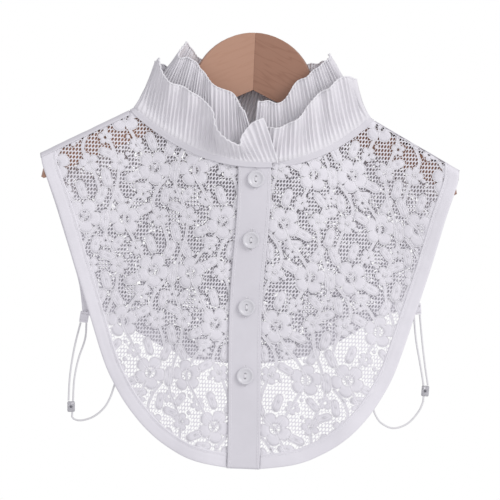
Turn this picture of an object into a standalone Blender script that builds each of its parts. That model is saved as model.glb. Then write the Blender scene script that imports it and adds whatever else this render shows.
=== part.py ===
"""A lace false collar with a double pleated ruffle, on a two-board wooden hanger.

All sizes below are in millimetres and become metres when a mesh is made.
Left and right are the viewer's, seen from the front. +X is to the right, +Y goes away from the
viewer, +Z is up, and the origin is the top of the hanger's arch.

The front and the back are drawn flat, as a pattern, with u across and w up. cloth_point() lays
that pattern over the hanger: over the rounded top of the arms at the shoulders, then straight down.
"""
import math

import bmesh
import bpy
from mathutils import Matrix, Vector

MM = 0.001
COLLECTION = "lace_collar"

# Shoulders and neck
NECK_HALF = 95.0
NECK_TOP_Z = -67.0
SHOULDER_SLOPE = 0.54
SHOULDER_HALF = 171.0
FRONT_NECK_DROP = 39.5
BACK_NECK_DROP = 19.0
NECK_CURVE = 2.15

# Cloth
LACE_WALL = 1.2
BAND_WALL = 1.6
RUFFLE_WALL = 1.0
BINDING_WALL = 2.4
BINDING_LIFT = 0.6
GAP = 0.3
SEAM_HALF_GAP = 0.45
BINDING_GAP = 0.5
BAND_WIDTH = 12.0
BINDING_HEIGHT = 5.0
PLACKET_HALF = 13.5
PLACKET_LIFT = 1.8
STRIP_LIFT = 1.7
# Shoulder strips: name, side, and how far each reaches down the front and down the back
SHOULDER_STRIPS = (
    ("shoulder_strip_left", -1.0, 14.5, 8.0), ("shoulder_strip_right", 1.0, 6.0, 14.5),
)

# How the cloth lies over the arms of the hanger
ARM_YAW = math.radians(8.0)
ARM_SOFT = 12.0
TOP_FLAT = 3.5
TOP_ROUND = 4.0
TOP_REACH = TOP_FLAT + TOP_ROUND
TOP_LENGTH = TOP_FLAT + TOP_ROUND * math.pi / 2
TOP_STATIONS = (SEAM_HALF_GAP, TOP_FLAT, 5.3, 7.4, TOP_LENGTH)
HANG_START = 28.0
HANG_LENGTH = 110.0
SWAY = 8.5
SWAY_LENGTH = 140.0
PULL_HALF = 95.0

# Side of the hanger that a panel hangs on: the sign of Y, its bow at the neck, where it hangs
# further down, how much it bows there, its soft folds as (height, width, phase), and how far its
# middle is pulled to the left
FRONT = {
    "sign": -1.0, "bow": 22.0, "hang": -19.0, "hang_bow": -3.0, "neck_drop": FRONT_NECK_DROP,
    "folds": ((1.7, 117.0, 0.6), (0.9, 58.0, 2.1)), "skew": 0.0, "pull": 5.5,
}
BACK = {
    "sign": 1.0, "bow": 9.0, "hang": -5.5, "hang_bow": 2.5, "neck_drop": BACK_NECK_DROP,
    "folds": ((1.5, 131.0, 2.6), (0.8, 66.0, 0.9)), "skew": 0.065, "pull": 0.0,
}
HANG_HALF = 150.0
SKEW_LENGTH = 139.0
EDGE_SOFT = 24.0

# Half of the front's outline, from the shoulder tip down the armhole to the hem: across, up
FRONT_EDGE = (
    (171.0, -108.0), (169.3, -119.0), (160.3, -145.0), (154.3, -165.0), (148.5, -185.0),
    (142.6, -204.0), (134.0, -231.0), (121.0, -271.0), (112.0, -291.0), (99.5, -311.0),
    (83.0, -329.5), (64.0, -343.5), (40.0, -354.0), (0.0, -360.0),
)
FRONT_CORNER = 7
HEM_STEPS = 10
ARMHOLE_STEPS = 8
PANEL_ROWS = tuple(index / 10 for index in range(11))
# Half of the back's outline: down the armhole to the corner, then along the hem
BACK_ARMHOLE = (
    (171.0, -108.0), (169.5, -119.0), (160.5, -145.0), (154.0, -165.0), (147.5, -185.0),
    (141.2, -206.0), (138.0, -229.0),
)
BACK_HEM = (
    (138.0, -229.0), (107.0, -237.0), (89.0, -247.0), (71.0, -257.5), (45.0, -268.0), (0.0, -274.0),
)

# Ruffles. Each row places the top edge over a point of the neck seam, given by its distance along
# the seam from the centre front (right positive): along, then the top edge at x, y, z
PLEATS = 95
PLEAT_DEPTH = 0.9
PLEAT_BASE_DEPTH = 0.25
PLEAT_STEEPEST = 0.6
RUFFLE_LEVELS = (0.0, 0.18, 0.5, 1.0)
LEAN_CURVE = 1.0
OVERLAP_FADE = 26.0
# Each neck strip: how far it stands out from the seam, where its left and right ends are along
# the seam, and how much further out each end stands
BINDING_ENDS = (PLACKET_HALF, -PLACKET_HALF)
BINDING_END_LIFTS = (2.0, -2.0)
OUTER_LIFT = 1.9
OUTER_ENDS = (18.0, -6.0)
OUTER_END_LIFTS = (2.0, 0.0)
INNER_LIFT = -0.9
INNER_ENDS = (4.0, -3.0)
INNER_END_LIFTS = (0.0, -2.0)
OUTER_TOP = (
    (18.0, 9.0, -37.0, -71.0), (9.0, 0.5, -39.5, -76.0), (0.0, -7.5, -39.5, -87.0),
    (-9.0, -9.0, -43.0, -95.0), (-19.0, -19.0, -47.0, -90.0), (-29.0, -29.0, -44.0, -81.0),
    (-39.0, -33.0, -36.0, -66.0), (-50.0, -43.0, -31.0, -56.5), (-62.0, -53.0, -32.0, -50.5),
    (-75.0, -64.0, -30.5, -46.5), (-90.0, -73.5, -28.5, -40.0), (-104.0, -78.5, -18.0, -26.0),
    (-120.0, -78.0, -4.0, -29.0), (-138.0, -67.0, 10.0, -33.0), (-157.0, -47.0, 18.0, -35.5),
    (-178.0, -26.0, 21.0, -40.0), (-198.0, -8.0, 24.5, -42.5), (-218.0, 9.0, 24.0, -42.0),
    (198.0, 26.0, 22.5, -40.0), (178.0, 40.0, 20.0, -38.0), (157.0, 57.0, 16.5, -36.0),
    (137.0, 72.0, 6.0, -37.0), (119.0, 81.5, -9.0, -35.5), (103.0, 81.0, -21.0, -35.0),
    (89.0, 74.0, -28.5, -34.5), (76.0, 64.0, -31.5, -42.0), (63.0, 56.0, -31.5, -48.5),
    (51.0, 47.0, -34.0, -57.0), (40.0, 41.0, -34.0, -67.0), (29.0, 33.0, -37.0, -74.0),
    (18.0, 24.0, -34.0, -78.0), (6.0, 13.0, -32.5, -79.0), (-6.0, 2.0, -33.0, -82.0),
)
INNER_TOP = (
    (4.0, -7.0, -26.0, -65.0), (-5.0, -10.5, -25.5, -61.0), (-16.0, -16.5, -23.5, -51.5),
    (-28.0, -27.0, -24.0, -48.5), (-41.0, -37.5, -21.5, -40.0), (-55.0, -43.5, -20.0, -32.5),
    (-72.0, -50.5, -19.0, -25.0), (-90.0, -59.0, -17.5, -24.0), (-106.0, -62.5, -12.0, -21.5),
    (-124.0, -56.0, -3.0, -10.5), (-144.0, -50.0, 3.5, -19.0), (-162.0, -38.0, 9.0, -26.0),
    (-180.0, -22.0, 10.0, -31.0), (-198.0, -7.0, 14.0, -33.0), (-218.0, 9.0, 12.0, -32.5),
    (200.0, 22.0, 12.5, -30.5), (180.0, 36.0, 9.5, -27.0), (158.0, 50.0, 7.5, -23.0),
    (137.0, 59.0, 1.0, -21.0), (119.0, 61.5, -8.0, -18.5), (103.0, 62.5, -15.5, -17.0),
    (87.0, 57.5, -19.5, -23.0), (70.0, 49.5, -20.0, -30.0), (56.0, 42.0, -20.0, -36.0),
    (43.0, 33.5, -21.0, -43.0), (31.0, 26.5, -20.5, -55.0), (21.0, 20.0, -21.0, -58.0),
    (9.0, 12.0, -21.0, -57.0), (-3.0, 5.0, -20.0, -56.5),
)

# Buttons
BUTTON_RADIUS = 7.0
BUTTON_WALL = 2.6
BUTTON_RIM = 1.4
BUTTON_DISH = 0.8
BUTTON_HOLE_RADIUS = 0.9
BUTTON_HOLE_OFFSET = 1.7
BUTTON_PLACES = ((1.0, -121.0), (0.5, -170.5), (1.0, -226.0), (0.4, -282.5))

# Hanger
ARCH_RADIUS = 50.0
ARCH_FILLET = 12.0
ARM_TIP_X = 170.0
ARM_TOP_GAP = 3.4
ARM_TIP_CUT = 3.0
UNDERSIDE_Z = -47.0
UNDERSIDE_SLOPE = 0.475
BOARD_THICK = 12.0
BOARD_EDGE = 2.5

# Elastic straps: routes from end to end, and the slider between them
ELASTIC_RADIUS = 1.0
TAB_WIDTH = 7.0
TAB_LENGTH = 9.0
TAB_WALL = 1.6
SLIDER_SIZE = (6.0, 3.4, 9.0)
SLIDER_EDGE = 0.9

WHITE_CLOTH = (0.84, 0.84, 0.86)
LACE_WHITE = (0.82, 0.82, 0.85)
BUTTON_WHITE = (0.86, 0.87, 0.91)
ELASTIC_WHITE = (0.80, 0.80, 0.80)
SLIDER_CLEAR = (0.70, 0.70, 0.72)
WOOD_LIGHT = (0.50, 0.30, 0.19)
WOOD_DARK = (0.40, 0.21, 0.13)


def clear_scene():
    for old in list(bpy.data.objects):
        bpy.data.objects.remove(old, do_unlink=True)


def collection(name):
    made = bpy.data.collections.new(name)
    bpy.context.scene.collection.children.link(made)
    return made


def material(name, colour, roughness, metallic=0.0):
    made = bpy.data.materials.new(name)
    made.use_nodes = True
    shader = made.node_tree.nodes["Principled BSDF"]
    shader.inputs["Base Color"].default_value = (*colour, 1.0)
    shader.inputs["Roughness"].default_value = roughness
    shader.inputs["Metallic"].default_value = metallic
    return made


def add_object(name, mesh, made_of, home):
    mesh.materials.append(made_of)
    made = bpy.data.objects.new(name, mesh)
    home.objects.link(made)
    return made


def smoothstep(value):
    value = min(1.0, max(0.0, value))
    return value * value * (3.0 - 2.0 * value)


def shoulder_z(u):
    """Height of the shoulder seam's line, which also runs on above the neck opening."""
    return NECK_TOP_Z - (abs(u) - NECK_HALF) * SHOULDER_SLOPE


def neck_z(side, u):
    """Height of the neck seam."""
    return NECK_TOP_Z - side["neck_drop"] * (1.0 - abs(u / NECK_HALF) ** NECK_CURVE)


def soft_edge_z(side, u):
    """Height of the panel's top edge, rounded off where the neck meets the shoulder."""
    total = 0.0
    for part in (-1.0, -0.5, 0.0, 0.5, 1.0):
        place = u + EDGE_SOFT * part
        total += neck_z(side, place) if abs(place) < NECK_HALF else shoulder_z(place)
    return total / 5.0


def cloth_point(side, u, w):
    """Place of a pattern point on the middle of the cloth, in millimetres."""
    below = shoulder_z(u) - w
    drop = below
    reach = TOP_REACH
    if below < TOP_ROUND:
        along = max(0.0, below - TOP_ROUND + TOP_LENGTH)
        turn = max(0.0, along - TOP_FLAT) / TOP_ROUND
        reach = min(along, TOP_FLAT) + TOP_ROUND * math.sin(turn)
        drop = TOP_ROUND * (1.0 - math.cos(turn))
    sign = side["sign"]
    arm = -math.tan(ARM_YAW) * math.hypot(u, ARM_SOFT)
    near_neck = max(0.0, 1.0 - (u / NECK_HALF) ** 2) ** 1.5
    over_arm = arm + sign * (reach + side["bow"] * near_neck)
    hanging = side["hang"] + side["hang_bow"] * (1.0 - (u / HANG_HALF) ** 2)
    z = shoulder_z(u) - drop
    loose = smoothstep((soft_edge_z(side, u) - z - HANG_START) / HANG_LENGTH)
    for height, width, phase in side["folds"]:
        hanging += height * math.sin(2.0 * math.pi * u / width + phase)
    y = over_arm + (hanging - over_arm) * loose
    pulled = smoothstep((drop - 100.0) / 110.0) * (1.0 - 0.45 * smoothstep((drop - 215.0) / 110.0))
    near_middle = max(0.0, 1.0 - (u / PULL_HALF) ** 2) ** 2
    x = u + SWAY * (1.0 - math.exp(-drop / SWAY_LENGTH)) - side["pull"] * pulled * near_middle
    return Vector((x, y, z + side["skew"] * u * min(1.0, drop / SKEW_LENGTH)))


def cloth_normal(side, u, w):
    step = 0.4
    across = cloth_point(side, u + step, w) - cloth_point(side, u - step, w)
    up = cloth_point(side, u, w + step) - cloth_point(side, u, w - step)
    return -side["sign"] * across.cross(up).normalized()


def lifted(side, u, w, lift):
    """A pattern point, moved out from the cloth by lift."""
    return cloth_point(side, u, w) + cloth_normal(side, u, w) * lift


def catmull_rom(rows, steps):
    """A smooth run through rows of numbers, with steps points for each row."""
    run = []
    last = len(rows) - 1
    for index in range(last):
        before = rows[max(0, index - 1)]
        start = rows[index]
        end = rows[index + 1]
        after = rows[min(last, index + 2)]
        for part in range(steps):
            t = part / steps
            run.append(tuple(
                0.5 * (2.0 * b + (c - a) * t + (2.0 * a - 5.0 * b + 4.0 * c - d) * t * t
                       + (3.0 * b - a - 3.0 * c + d) * t ** 3)
                for a, b, c, d in zip(before, start, end, after)))
    run.append(tuple(rows[last]))
    return run


def resample(run, count):
    """The same run of points with count equal steps."""
    lengths = [0.0]
    for start, end in zip(run, run[1:]):
        lengths.append(lengths[-1] + math.dist(start, end))
    points = []
    place = 0
    for index in range(count + 1):
        wanted = lengths[-1] * index / count
        while place < len(run) - 2 and lengths[place + 1] < wanted:
            place += 1
        span = lengths[place + 1] - lengths[place]
        t = (wanted - lengths[place]) / span
        points.append(tuple(a + (b - a) * t for a, b in zip(run[place], run[place + 1])))
    return points


def moved_in(run, distance):
    """A run of pattern points moved to its right-hand side by distance, with mitred corners."""
    moved = []
    for index, (u, w) in enumerate(run):
        normals = []
        for a, b in ((index - 1, index), (index, index + 1)):
            if a >= 0 and b < len(run):
                du = run[b][0] - run[a][0]
                dw = run[b][1] - run[a][1]
                length = math.hypot(du, dw)
                normals.append((dw / length, -du / length))
        nu = sum(n[0] for n in normals) / len(normals)
        nw = sum(n[1] for n in normals) / len(normals)
        scale = distance / (nu * nu + nw * nw)
        moved.append((u + nu * scale, w + nw * scale))
    return moved


def mirrored(run):
    return [(-u, w) for u, w in reversed(run)]


def cut_to(run, u_start, u_end):
    """The part of a run between two values of u, with its ends put exactly on them."""
    low, high = sorted((u_start, u_end))
    kept = []
    for a, b in zip(run, run[1:]):
        if low <= a[0] <= high:
            kept.append(a)
        for edge in (u_start, u_end):
            if (a[0] - edge) * (b[0] - edge) < 0.0:
                t = (edge - a[0]) / (b[0] - a[0])
                kept.append((edge, a[1] + (b[1] - a[1]) * t))
    if low <= run[-1][0] <= high:
        kept.append(run[-1])
    return kept


def seam_w(u, from_seam):
    """Pattern height of a point on the shoulder, from_seam below the seam along the cloth."""
    return shoulder_z(u) - TOP_ROUND + TOP_LENGTH - from_seam


def from_seam(u, w):
    """Distance of a pattern point from the shoulder seam, along the cloth."""
    return shoulder_z(u) - TOP_ROUND + TOP_LENGTH - w


def crossing(run, distance):
    """The point where a run comes to this distance from the shoulder seam."""
    for a, b in zip(run, run[1:]):
        before = from_seam(*a) - distance
        after = from_seam(*b) - distance
        if abs(before) < 1e-6:
            return a
        if before * after < 0.0:
            t = before / (before - after)
            return a[0] + (b[0] - a[0]) * t, a[1] + (b[1] - a[1]) * t
    return run[-1]


def hanging_part(run):
    """The part of a run that lies below the bend over the arm, from where it leaves the bend."""
    ends = [crossing(run, TOP_LENGTH)] if from_seam(*run[0]) < TOP_LENGTH else []
    middle = [point for point in run if from_seam(*point) > TOP_LENGTH + 0.2]
    if from_seam(*run[-1]) < TOP_LENGTH:
        middle.append(crossing(run[::-1], TOP_LENGTH))
    return ends + middle


def neck_run(side, steps=36):
    """The neck seam on one panel's pattern, from the left shoulder seam to the right one."""
    run = []
    for index in range(1, steps):
        u = -NECK_HALF * math.cos(math.pi * index / steps)
        z = neck_z(side, u)
        drop = shoulder_z(u) - z
        w = z
        if drop < TOP_ROUND:
            w = seam_w(u, TOP_FLAT + TOP_ROUND * math.acos(1.0 - drop / TOP_ROUND))
        run.append((u, w))
    ends = [(NECK_HALF, seam_w(NECK_HALF, TOP_FLAT)), (NECK_HALF, seam_w(NECK_HALF, SEAM_HALF_GAP))]
    return [(-u, w) for u, w in reversed(ends)] + run + ends


def below_neck(side, distance):
    """The neck seam moved away from the neck, along the shoulder seam at its ends."""
    run = moved_in(neck_run(side), distance)
    past = NECK_HALF + distance * math.cos(math.atan(SHOULDER_SLOPE))
    ends = [(past, seam_w(past, TOP_FLAT)), (past, seam_w(past, SEAM_HALF_GAP))]
    return [(-u, w) for u, w in reversed(ends)] + run[2:-2] + ends


def neck_ring():
    """The whole neck seam from the centre front to the right and round: for each station its
    place, the place of the binding's other edge, the way out of the cloth and the length so far."""
    sides = []
    for side in (FRONT, BACK):
        stations = []
        for (u, w), (far_u, far_w) in zip(neck_run(side), below_neck(side, BINDING_HEIGHT)):
            stations.append((cloth_point(side, u, w), cloth_point(side, far_u, far_w),
                             cloth_normal(side, u, w)))
        sides.append(stations)
    front, back = sides
    middle = len(front) // 2
    loop = front[middle:] + back[::-1] + front[:middle + 1]
    lengths = [0.0]
    for start, end in zip(loop, loop[1:]):
        lengths.append(lengths[-1] + (end[0] - start[0]).length)
    return loop, lengths


RING, RING_LENGTHS = neck_ring()
RING_TOTAL = RING_LENGTHS[-1]


def ring_station(along):
    """Place on the neck seam, place on the binding's other edge, and the way out of the cloth."""
    wanted = along % RING_TOTAL
    for index, (start, end) in enumerate(zip(RING_LENGTHS, RING_LENGTHS[1:])):
        if wanted <= end:
            t = (wanted - start) / max(end - start, 1e-6)
            place, far, out = (a.lerp(b, t) for a, b in zip(RING[index], RING[index + 1]))
            return place, far, out.normalized()
    return RING[-1]


def ring_out(along):
    """The level direction that points out of the neck opening."""
    tangent = ring_station(along + 7.0)[0] - ring_station(along - 7.0)[0]
    return Vector((tangent.y, -tangent.x, 0.0)).normalized()


def overlap_lift(along, ends, lifts):
    """How far a neck strip is moved out at its left end, and at its right end under that."""
    gone = ends[0] - along
    total = ends[0] - ends[1] + RING_TOTAL
    at_left = smoothstep(2.0 - gone / OVERLAP_FADE)
    at_right = smoothstep(2.0 - (total - gone) / OVERLAP_FADE)
    return lifts[0] * at_left + lifts[1] * at_right


def grid_mesh(name, grids):
    """A mesh from grids of points in millimetres, with points that meet made one."""
    shape = bmesh.new()
    for grid in grids:
        rows = [[shape.verts.new(Vector(point) * MM) for point in row] for row in grid]
        for upper, lower in zip(rows, rows[1:]):
            for index in range(len(upper) - 1):
                shape.faces.new((upper[index], lower[index], lower[index + 1], upper[index + 1]))
    bmesh.ops.remove_doubles(shape, verts=shape.verts, dist=0.01 * MM)
    bmesh.ops.recalc_face_normals(shape, faces=shape.faces)
    mesh = bpy.data.meshes.new(name)
    shape.to_mesh(mesh)
    shape.free()
    mesh.shade_smooth()
    mesh.set_sharp_from_angle(angle=math.radians(40.0))
    return mesh


def cloth_wall(name, grids, wall, made_of, home):
    made = add_object(name, grid_mesh(name, grids), made_of, home)
    solid = made.modifiers.new("wall", "SOLIDIFY")
    solid.thickness = wall * MM
    solid.offset = 0.0
    solid.use_even_offset = True
    return made


def closed_wall(name, inside, outside, made_of, home):
    """A wall between two grids of points, closed along its edges."""
    shape = bmesh.new()
    sheets = [[[shape.verts.new(point * MM) for point in row] for row in grid]
              for grid in (inside, outside)]
    last_row = len(inside) - 1
    last = len(inside[0]) - 1
    for near, far in ((sheets[0], sheets[1]), (sheets[1], sheets[0])):
        for row in range(last_row):
            for index in range(last):
                face = (near[row][index], near[row + 1][index], near[row + 1][index + 1],
                        near[row][index + 1])
                shape.faces.new(face if near is sheets[0] else face[::-1])
    rim = [(0, index) for index in range(last)] + [(row, last) for row in range(last_row)]
    rim += [(last_row, index) for index in range(last, 0, -1)]
    rim += [(row, 0) for row in range(last_row, 0, -1)]
    for (row, index), (next_row, next_index) in zip(rim, rim[1:] + rim[:1]):
        shape.faces.new((sheets[0][row][index], sheets[0][next_row][next_index],
                         sheets[1][next_row][next_index], sheets[1][row][index]))
    bmesh.ops.recalc_face_normals(shape, faces=shape.faces)
    mesh = bpy.data.meshes.new(name)
    shape.to_mesh(mesh)
    shape.free()
    mesh.shade_smooth()
    mesh.set_sharp_from_angle(angle=math.radians(50.0))
    add_object(name, mesh, made_of, home)


def between(side, top_run, bottom_run, fractions, lift=0.0):
    """Rows of points on a panel between two runs of the pattern that have as many points."""
    return [[lifted(side, top[0] + (low[0] - top[0]) * f, top[1] + (low[1] - top[1]) * f, lift)
             for top, low in zip(top_run, bottom_run)] for f in fractions]


def fold_rows(side, neck, edge, count):
    """The part of a lace panel that lies over the arm, between its neck edge and armhole edge."""
    rows = []
    for distance in TOP_STATIONS:
        start = crossing(neck, distance)[0]
        end = crossing(edge, distance)[0]
        columns = [start + (end - start) * index / count for index in range(count + 1)]
        rows.append([(u, seam_w(u, distance)) for u in columns])
    return rows


def build_fronts(lace, cloth, home):
    edge = catmull_rom(FRONT_EDGE, 4)
    inner = moved_in(edge, BAND_WIDTH)
    lace_edge = moved_in(edge, BAND_WIDTH + GAP)
    for run in (edge, inner, lace_edge):
        run[0] = (run[0][0], seam_w(run[0][0], SEAM_HALF_GAP))
    corner = FRONT_CORNER * 4
    start = PLACKET_HALF + GAP

    def lower_run(run):
        """From the placket along the hem and up the armhole to the bend, in even steps."""
        hem = cut_to(run[corner:], run[corner][0], start)
        armhole = hanging_part(run[:corner + 1])
        return resample(hem[::-1], HEM_STEPS)[:-1] + resample(armhole[::-1], ARMHOLE_STEPS)

    def band_run(run):
        return lower_run(run) + [crossing(run, d) for d in reversed(TOP_STATIONS[:-1])]

    neck = below_neck(FRONT, BINDING_HEIGHT + BINDING_GAP)
    right_neck = [point for point in neck if point[0] > 0.0]
    folded = fold_rows(FRONT, right_neck[::-1], lace_edge, ARMHOLE_STEPS)
    hanging_neck = cut_to(hanging_part(neck), start, NECK_HALF * 2)
    high = resample(hanging_neck, HEM_STEPS)[:-1] + folded[-1]
    for name, sign in (("front_left", -1.0), ("front_right", 1.0)):
        upper = [(sign * u, w) for u, w in high]
        lower = [(sign * u, w) for u, w in lower_run(lace_edge)]
        bent = [[lifted(FRONT, sign * u, w, 0.0) for u, w in row] for row in folded]
        flat = between(FRONT, upper, lower, PANEL_ROWS)
        cloth_wall(name, [bent, flat], LACE_WALL, lace, home)
    for name, sign in (("front_band_left", -1.0), ("front_band_right", 1.0)):
        outside = [(sign * u, w) for u, w in band_run(edge)]
        inside = [(sign * u, w) for u, w in band_run(inner)]
        rows = between(FRONT, outside, inside, (0.0, 0.5, 1.0))
        cloth_wall(name, [rows], BAND_WALL, cloth, home)

    whole_edge = edge + mirrored(edge)[1:]
    columns = [PLACKET_HALF * part for part in (-1.0, -0.5, 0.0, 0.5, 1.0)]
    high = [cut_to(neck, u, u + 1.0)[0] for u in columns]
    low = [cut_to(whole_edge, u, u - 1.0)[0] for u in columns]
    fractions = [index / 18 for index in range(19)]
    for name, lift in (("button_stand", 0.0), ("placket", PLACKET_LIFT)):
        cloth_wall(name, [between(FRONT, high, low, fractions, lift)], LACE_WALL, cloth, home)


def build_back(lace, cloth, home):
    armhole = catmull_rom(BACK_ARMHOLE, 4)
    hem = catmull_rom(BACK_HEM, 4)
    half = armhole + hem[1:]
    edge = half + mirrored(half)[1:]
    inner = moved_in(edge, BAND_WIDTH)
    lace_edge = moved_in(edge, BAND_WIDTH + GAP)
    last = len(edge) - 1
    corner = len(armhole) - 1
    for run in (edge, inner, lace_edge):
        for end in (0, last):
            run[end] = (run[end][0], seam_w(run[end][0], SEAM_HALF_GAP))

    def lower_run(run):
        """Down the right armhole, along the hem and up the left armhole, in even steps."""
        right = hanging_part(run[:corner + 1])
        left = hanging_part(run[last - corner:])
        return (resample(right, ARMHOLE_STEPS)[:-1]
                + resample(run[corner:last - corner + 1], 2 * HEM_STEPS)[:-1]
                + resample(left, ARMHOLE_STEPS))

    def band_run(run):
        right = [crossing(run[:corner + 1], d) for d in TOP_STATIONS[:-1]]
        return right + lower_run(run) + mirrored(right)

    band = between(BACK, band_run(edge), band_run(inner), (0.0, 0.5, 1.0))
    cloth_wall("back_band", [band], BAND_WALL, cloth, home)

    neck = below_neck(BACK, BINDING_HEIGHT + BINDING_GAP)
    right_neck = [point for point in neck if point[0] > 0.0]
    folded = fold_rows(BACK, right_neck[::-1], lace_edge[:corner + 1], ARMHOLE_STEPS)
    folded = [row[::-1] for row in folded]
    upper = (folded[-1][:-1] + resample(hanging_part(neck)[::-1], 2 * HEM_STEPS)[:-1]
             + mirrored(folded[-1]))
    right = [[lifted(BACK, u, w, 0.0) for u, w in row] for row in folded]
    left = [[lifted(BACK, u, w, 0.0) for u, w in mirrored(row)] for row in folded]
    flat = between(BACK, upper, lower_run(lace_edge), PANEL_ROWS)
    cloth_wall("back_panel", [right, left, flat], LACE_WALL, lace, home)


def build_shoulder_strips(cloth, home):
    """A narrow strip over each shoulder seam; the right one has rolled to the back."""
    for name, sign, front_width, back_width in SHOULDER_STRIPS:
        ends = (NECK_HALF + BINDING_HEIGHT + 1.2, SHOULDER_HALF - 0.3)
        columns = [sign * (ends[0] + (ends[1] - ends[0]) * index / 6) for index in range(7)]
        steps = (1.0, 0.8, 0.6, 0.45, 0.3, 0.15)
        rows = [[lifted(FRONT, u, seam_w(u, front_width * f), STRIP_LIFT) for u in columns]
                for f in steps]
        rows += [[lifted(BACK, u, seam_w(u, back_width * f), STRIP_LIFT) for u in columns]
                 for f in reversed(steps)]
        cloth_wall(name, [rows], LACE_WALL, cloth, home)


def build_binding(cloth, home):
    """The strip that holds the raw edge of the ruffles, with its ends over each other."""
    left_end, right_end = BINDING_ENDS
    right_end -= RING_TOTAL
    inner_stations = [length - turn * RING_TOTAL for length in RING_LENGTHS[1:] for turn in (0, 1, 2)]
    stations = [left_end, right_end]
    stations += [along for along in inner_stations if right_end + 2.0 < along < left_end - 2.0]
    top = []
    bottom = []
    for along in sorted(stations, reverse=True):
        place, far, out = ring_station(along)
        lift = out * (BINDING_LIFT + overlap_lift(along, BINDING_ENDS, BINDING_END_LIFTS))
        top.append(place + lift)
        bottom.append(far + lift)
    cloth_wall("neck_binding", [[top, bottom]], BINDING_WALL, cloth, home)


def clear_of_binding(along):
    """Height of the ruffles' lower edge, just above the binding all round this station."""
    heights = []
    for aside in (-4.0, -2.0, 0.0, 2.0, 4.0):
        place, _, out = ring_station(along + aside)
        heights.append(place.z + max(0.0, out.z) * (BINDING_WALL / 2 + BINDING_LIFT))
    return max(heights) + GAP


def ruffle_top(rows):
    """The top edge of a ruffle as a smooth run, against the distance from its left end."""
    first = rows[0][0]
    travelled = []
    for along, x, y, z in rows:
        gone = first - along
        if travelled and gone < travelled[-1][0]:
            gone += RING_TOTAL
        travelled.append((gone, x, y, z))
    return catmull_rom(travelled, 6)


def at_distance(run, gone):
    for start, end in zip(run, run[1:]):
        if gone <= end[0]:
            t = (gone - start[0]) / (end[0] - start[0])
            return Vector([a + (b - a) * t for a, b in zip(start[1:], end[1:])])
    return Vector(run[-1][1:])


def build_ruffle(name, top_rows, ends, layer_lift, end_lifts, cloth, home):
    """A pleated strip from the neck seam up to its wavy top edge."""
    left_end = ends[0]
    total = ends[0] - ends[1] + RING_TOTAL
    top_run = ruffle_top(top_rows)

    def smooth_point(gone, level):
        along = left_end - gone
        base = ring_station(along)[0].copy()
        base.z = clear_of_binding(along)
        base += ring_out(along) * (overlap_lift(along, ends, end_lifts) + layer_lift)
        top = at_distance(top_run, min(max(gone, 0.0), total))
        leaning = base.lerp(top, max(level, 0.0) ** LEAN_CURVE)
        return Vector((leaning.x, leaning.y, base.z + (top.z - base.z) * level))

    columns = 2 * PLEATS
    step = total / columns
    inside = []
    outside = []
    for level in RUFFLE_LEVELS:
        inner_row = []
        outer_row = []
        full = PLEAT_BASE_DEPTH + (PLEAT_DEPTH - PLEAT_BASE_DEPTH) * smoothstep(level / 0.4)
        for index in range(columns + 1):
            gone = step * index
            point = smooth_point(gone, level)
            across = smooth_point(gone + step, level) - smooth_point(gone - step, level)
            up = smooth_point(gone, level + 0.05) - smooth_point(gone, level - 0.05)
            normal = across.cross(up).normalized()
            half_pitch = max(across.length / 2, 0.2)
            depth = min(full, half_pitch * PLEAT_STEEPEST)
            side = 1.0 if index % 2 else -1.0
            thick = RUFFLE_WALL / 2 * math.hypot(1.0, 2.0 * depth / half_pitch) ** 0.5
            inner_row.append(point + normal * (depth * side - thick))
            outer_row.append(point + normal * (depth * side + thick))
        inside.append(inner_row)
        outside.append(outer_row)
    closed_wall(name, inside, outside, cloth, home)


def build_buttons(plastic, home, cutters):
    profile = (
        (0.0, BUTTON_WALL / 2 - BUTTON_DISH),
        (BUTTON_RADIUS - BUTTON_RIM - 0.8, BUTTON_WALL / 2 - BUTTON_DISH),
        (BUTTON_RADIUS - BUTTON_RIM, BUTTON_WALL / 2 - 0.1), (BUTTON_RADIUS - 0.7, BUTTON_WALL / 2),
        (BUTTON_RADIUS, BUTTON_WALL / 5), (BUTTON_RADIUS - 2.0, -BUTTON_WALL / 2),
        (0.0, -BUTTON_WALL / 2),
    )
    for number, (across, z) in enumerate(BUTTON_PLACES, start=1):
        name = f"button_{number}"
        shape = bmesh.new()
        corners = [shape.verts.new((x * MM, 0.0, z * MM)) for x, z in profile]
        for a, b in zip(corners, corners[1:]):
            shape.edges.new((a, b))
        mesh = bpy.data.meshes.new(name)
        shape.to_mesh(mesh)
        shape.free()
        made = add_object(name, mesh, plastic, home)
        turn = made.modifiers.new("turned", "SCREW")
        turn.steps = 20
        turn.render_steps = 20
        turn.use_merge_vertices = True
        turn.merge_threshold = 0.00001
        turn.use_smooth_shade = True
        lift = PLACKET_LIFT + LACE_WALL / 2 + GAP + BUTTON_WALL / 2
        place = lifted(FRONT, across, z, lift) * MM
        facing = cloth_normal(FRONT, across, z)
        turned = facing.to_track_quat("Z", "Y").to_matrix().to_4x4()
        made.matrix_world = Matrix.Translation(place) @ turned
        for sign in (-1.0, 1.0):
            hole = bmesh.new()
            bmesh.ops.create_cone(hole, cap_ends=True, segments=8, depth=2.0 * BUTTON_WALL * MM,
                                  radius1=BUTTON_HOLE_RADIUS * MM, radius2=BUTTON_HOLE_RADIUS * MM)
            hole_mesh = bpy.data.meshes.new(f"{name}_hole")
            hole.to_mesh(hole_mesh)
            hole.free()
            cutter = bpy.data.objects.new(f"{name}_hole", hole_mesh)
            cutters.objects.link(cutter)
            shift = Matrix.Translation(Vector((0.0, sign * BUTTON_HOLE_OFFSET * MM, 0.0)))
            cutter.matrix_world = made.matrix_world @ shift
            cutter.hide_render = True
            cutter.display_type = "WIRE"
            cut = made.modifiers.new("hole", "BOOLEAN")
            cut.object = cutter
            cut.operation = "DIFFERENCE"


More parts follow.
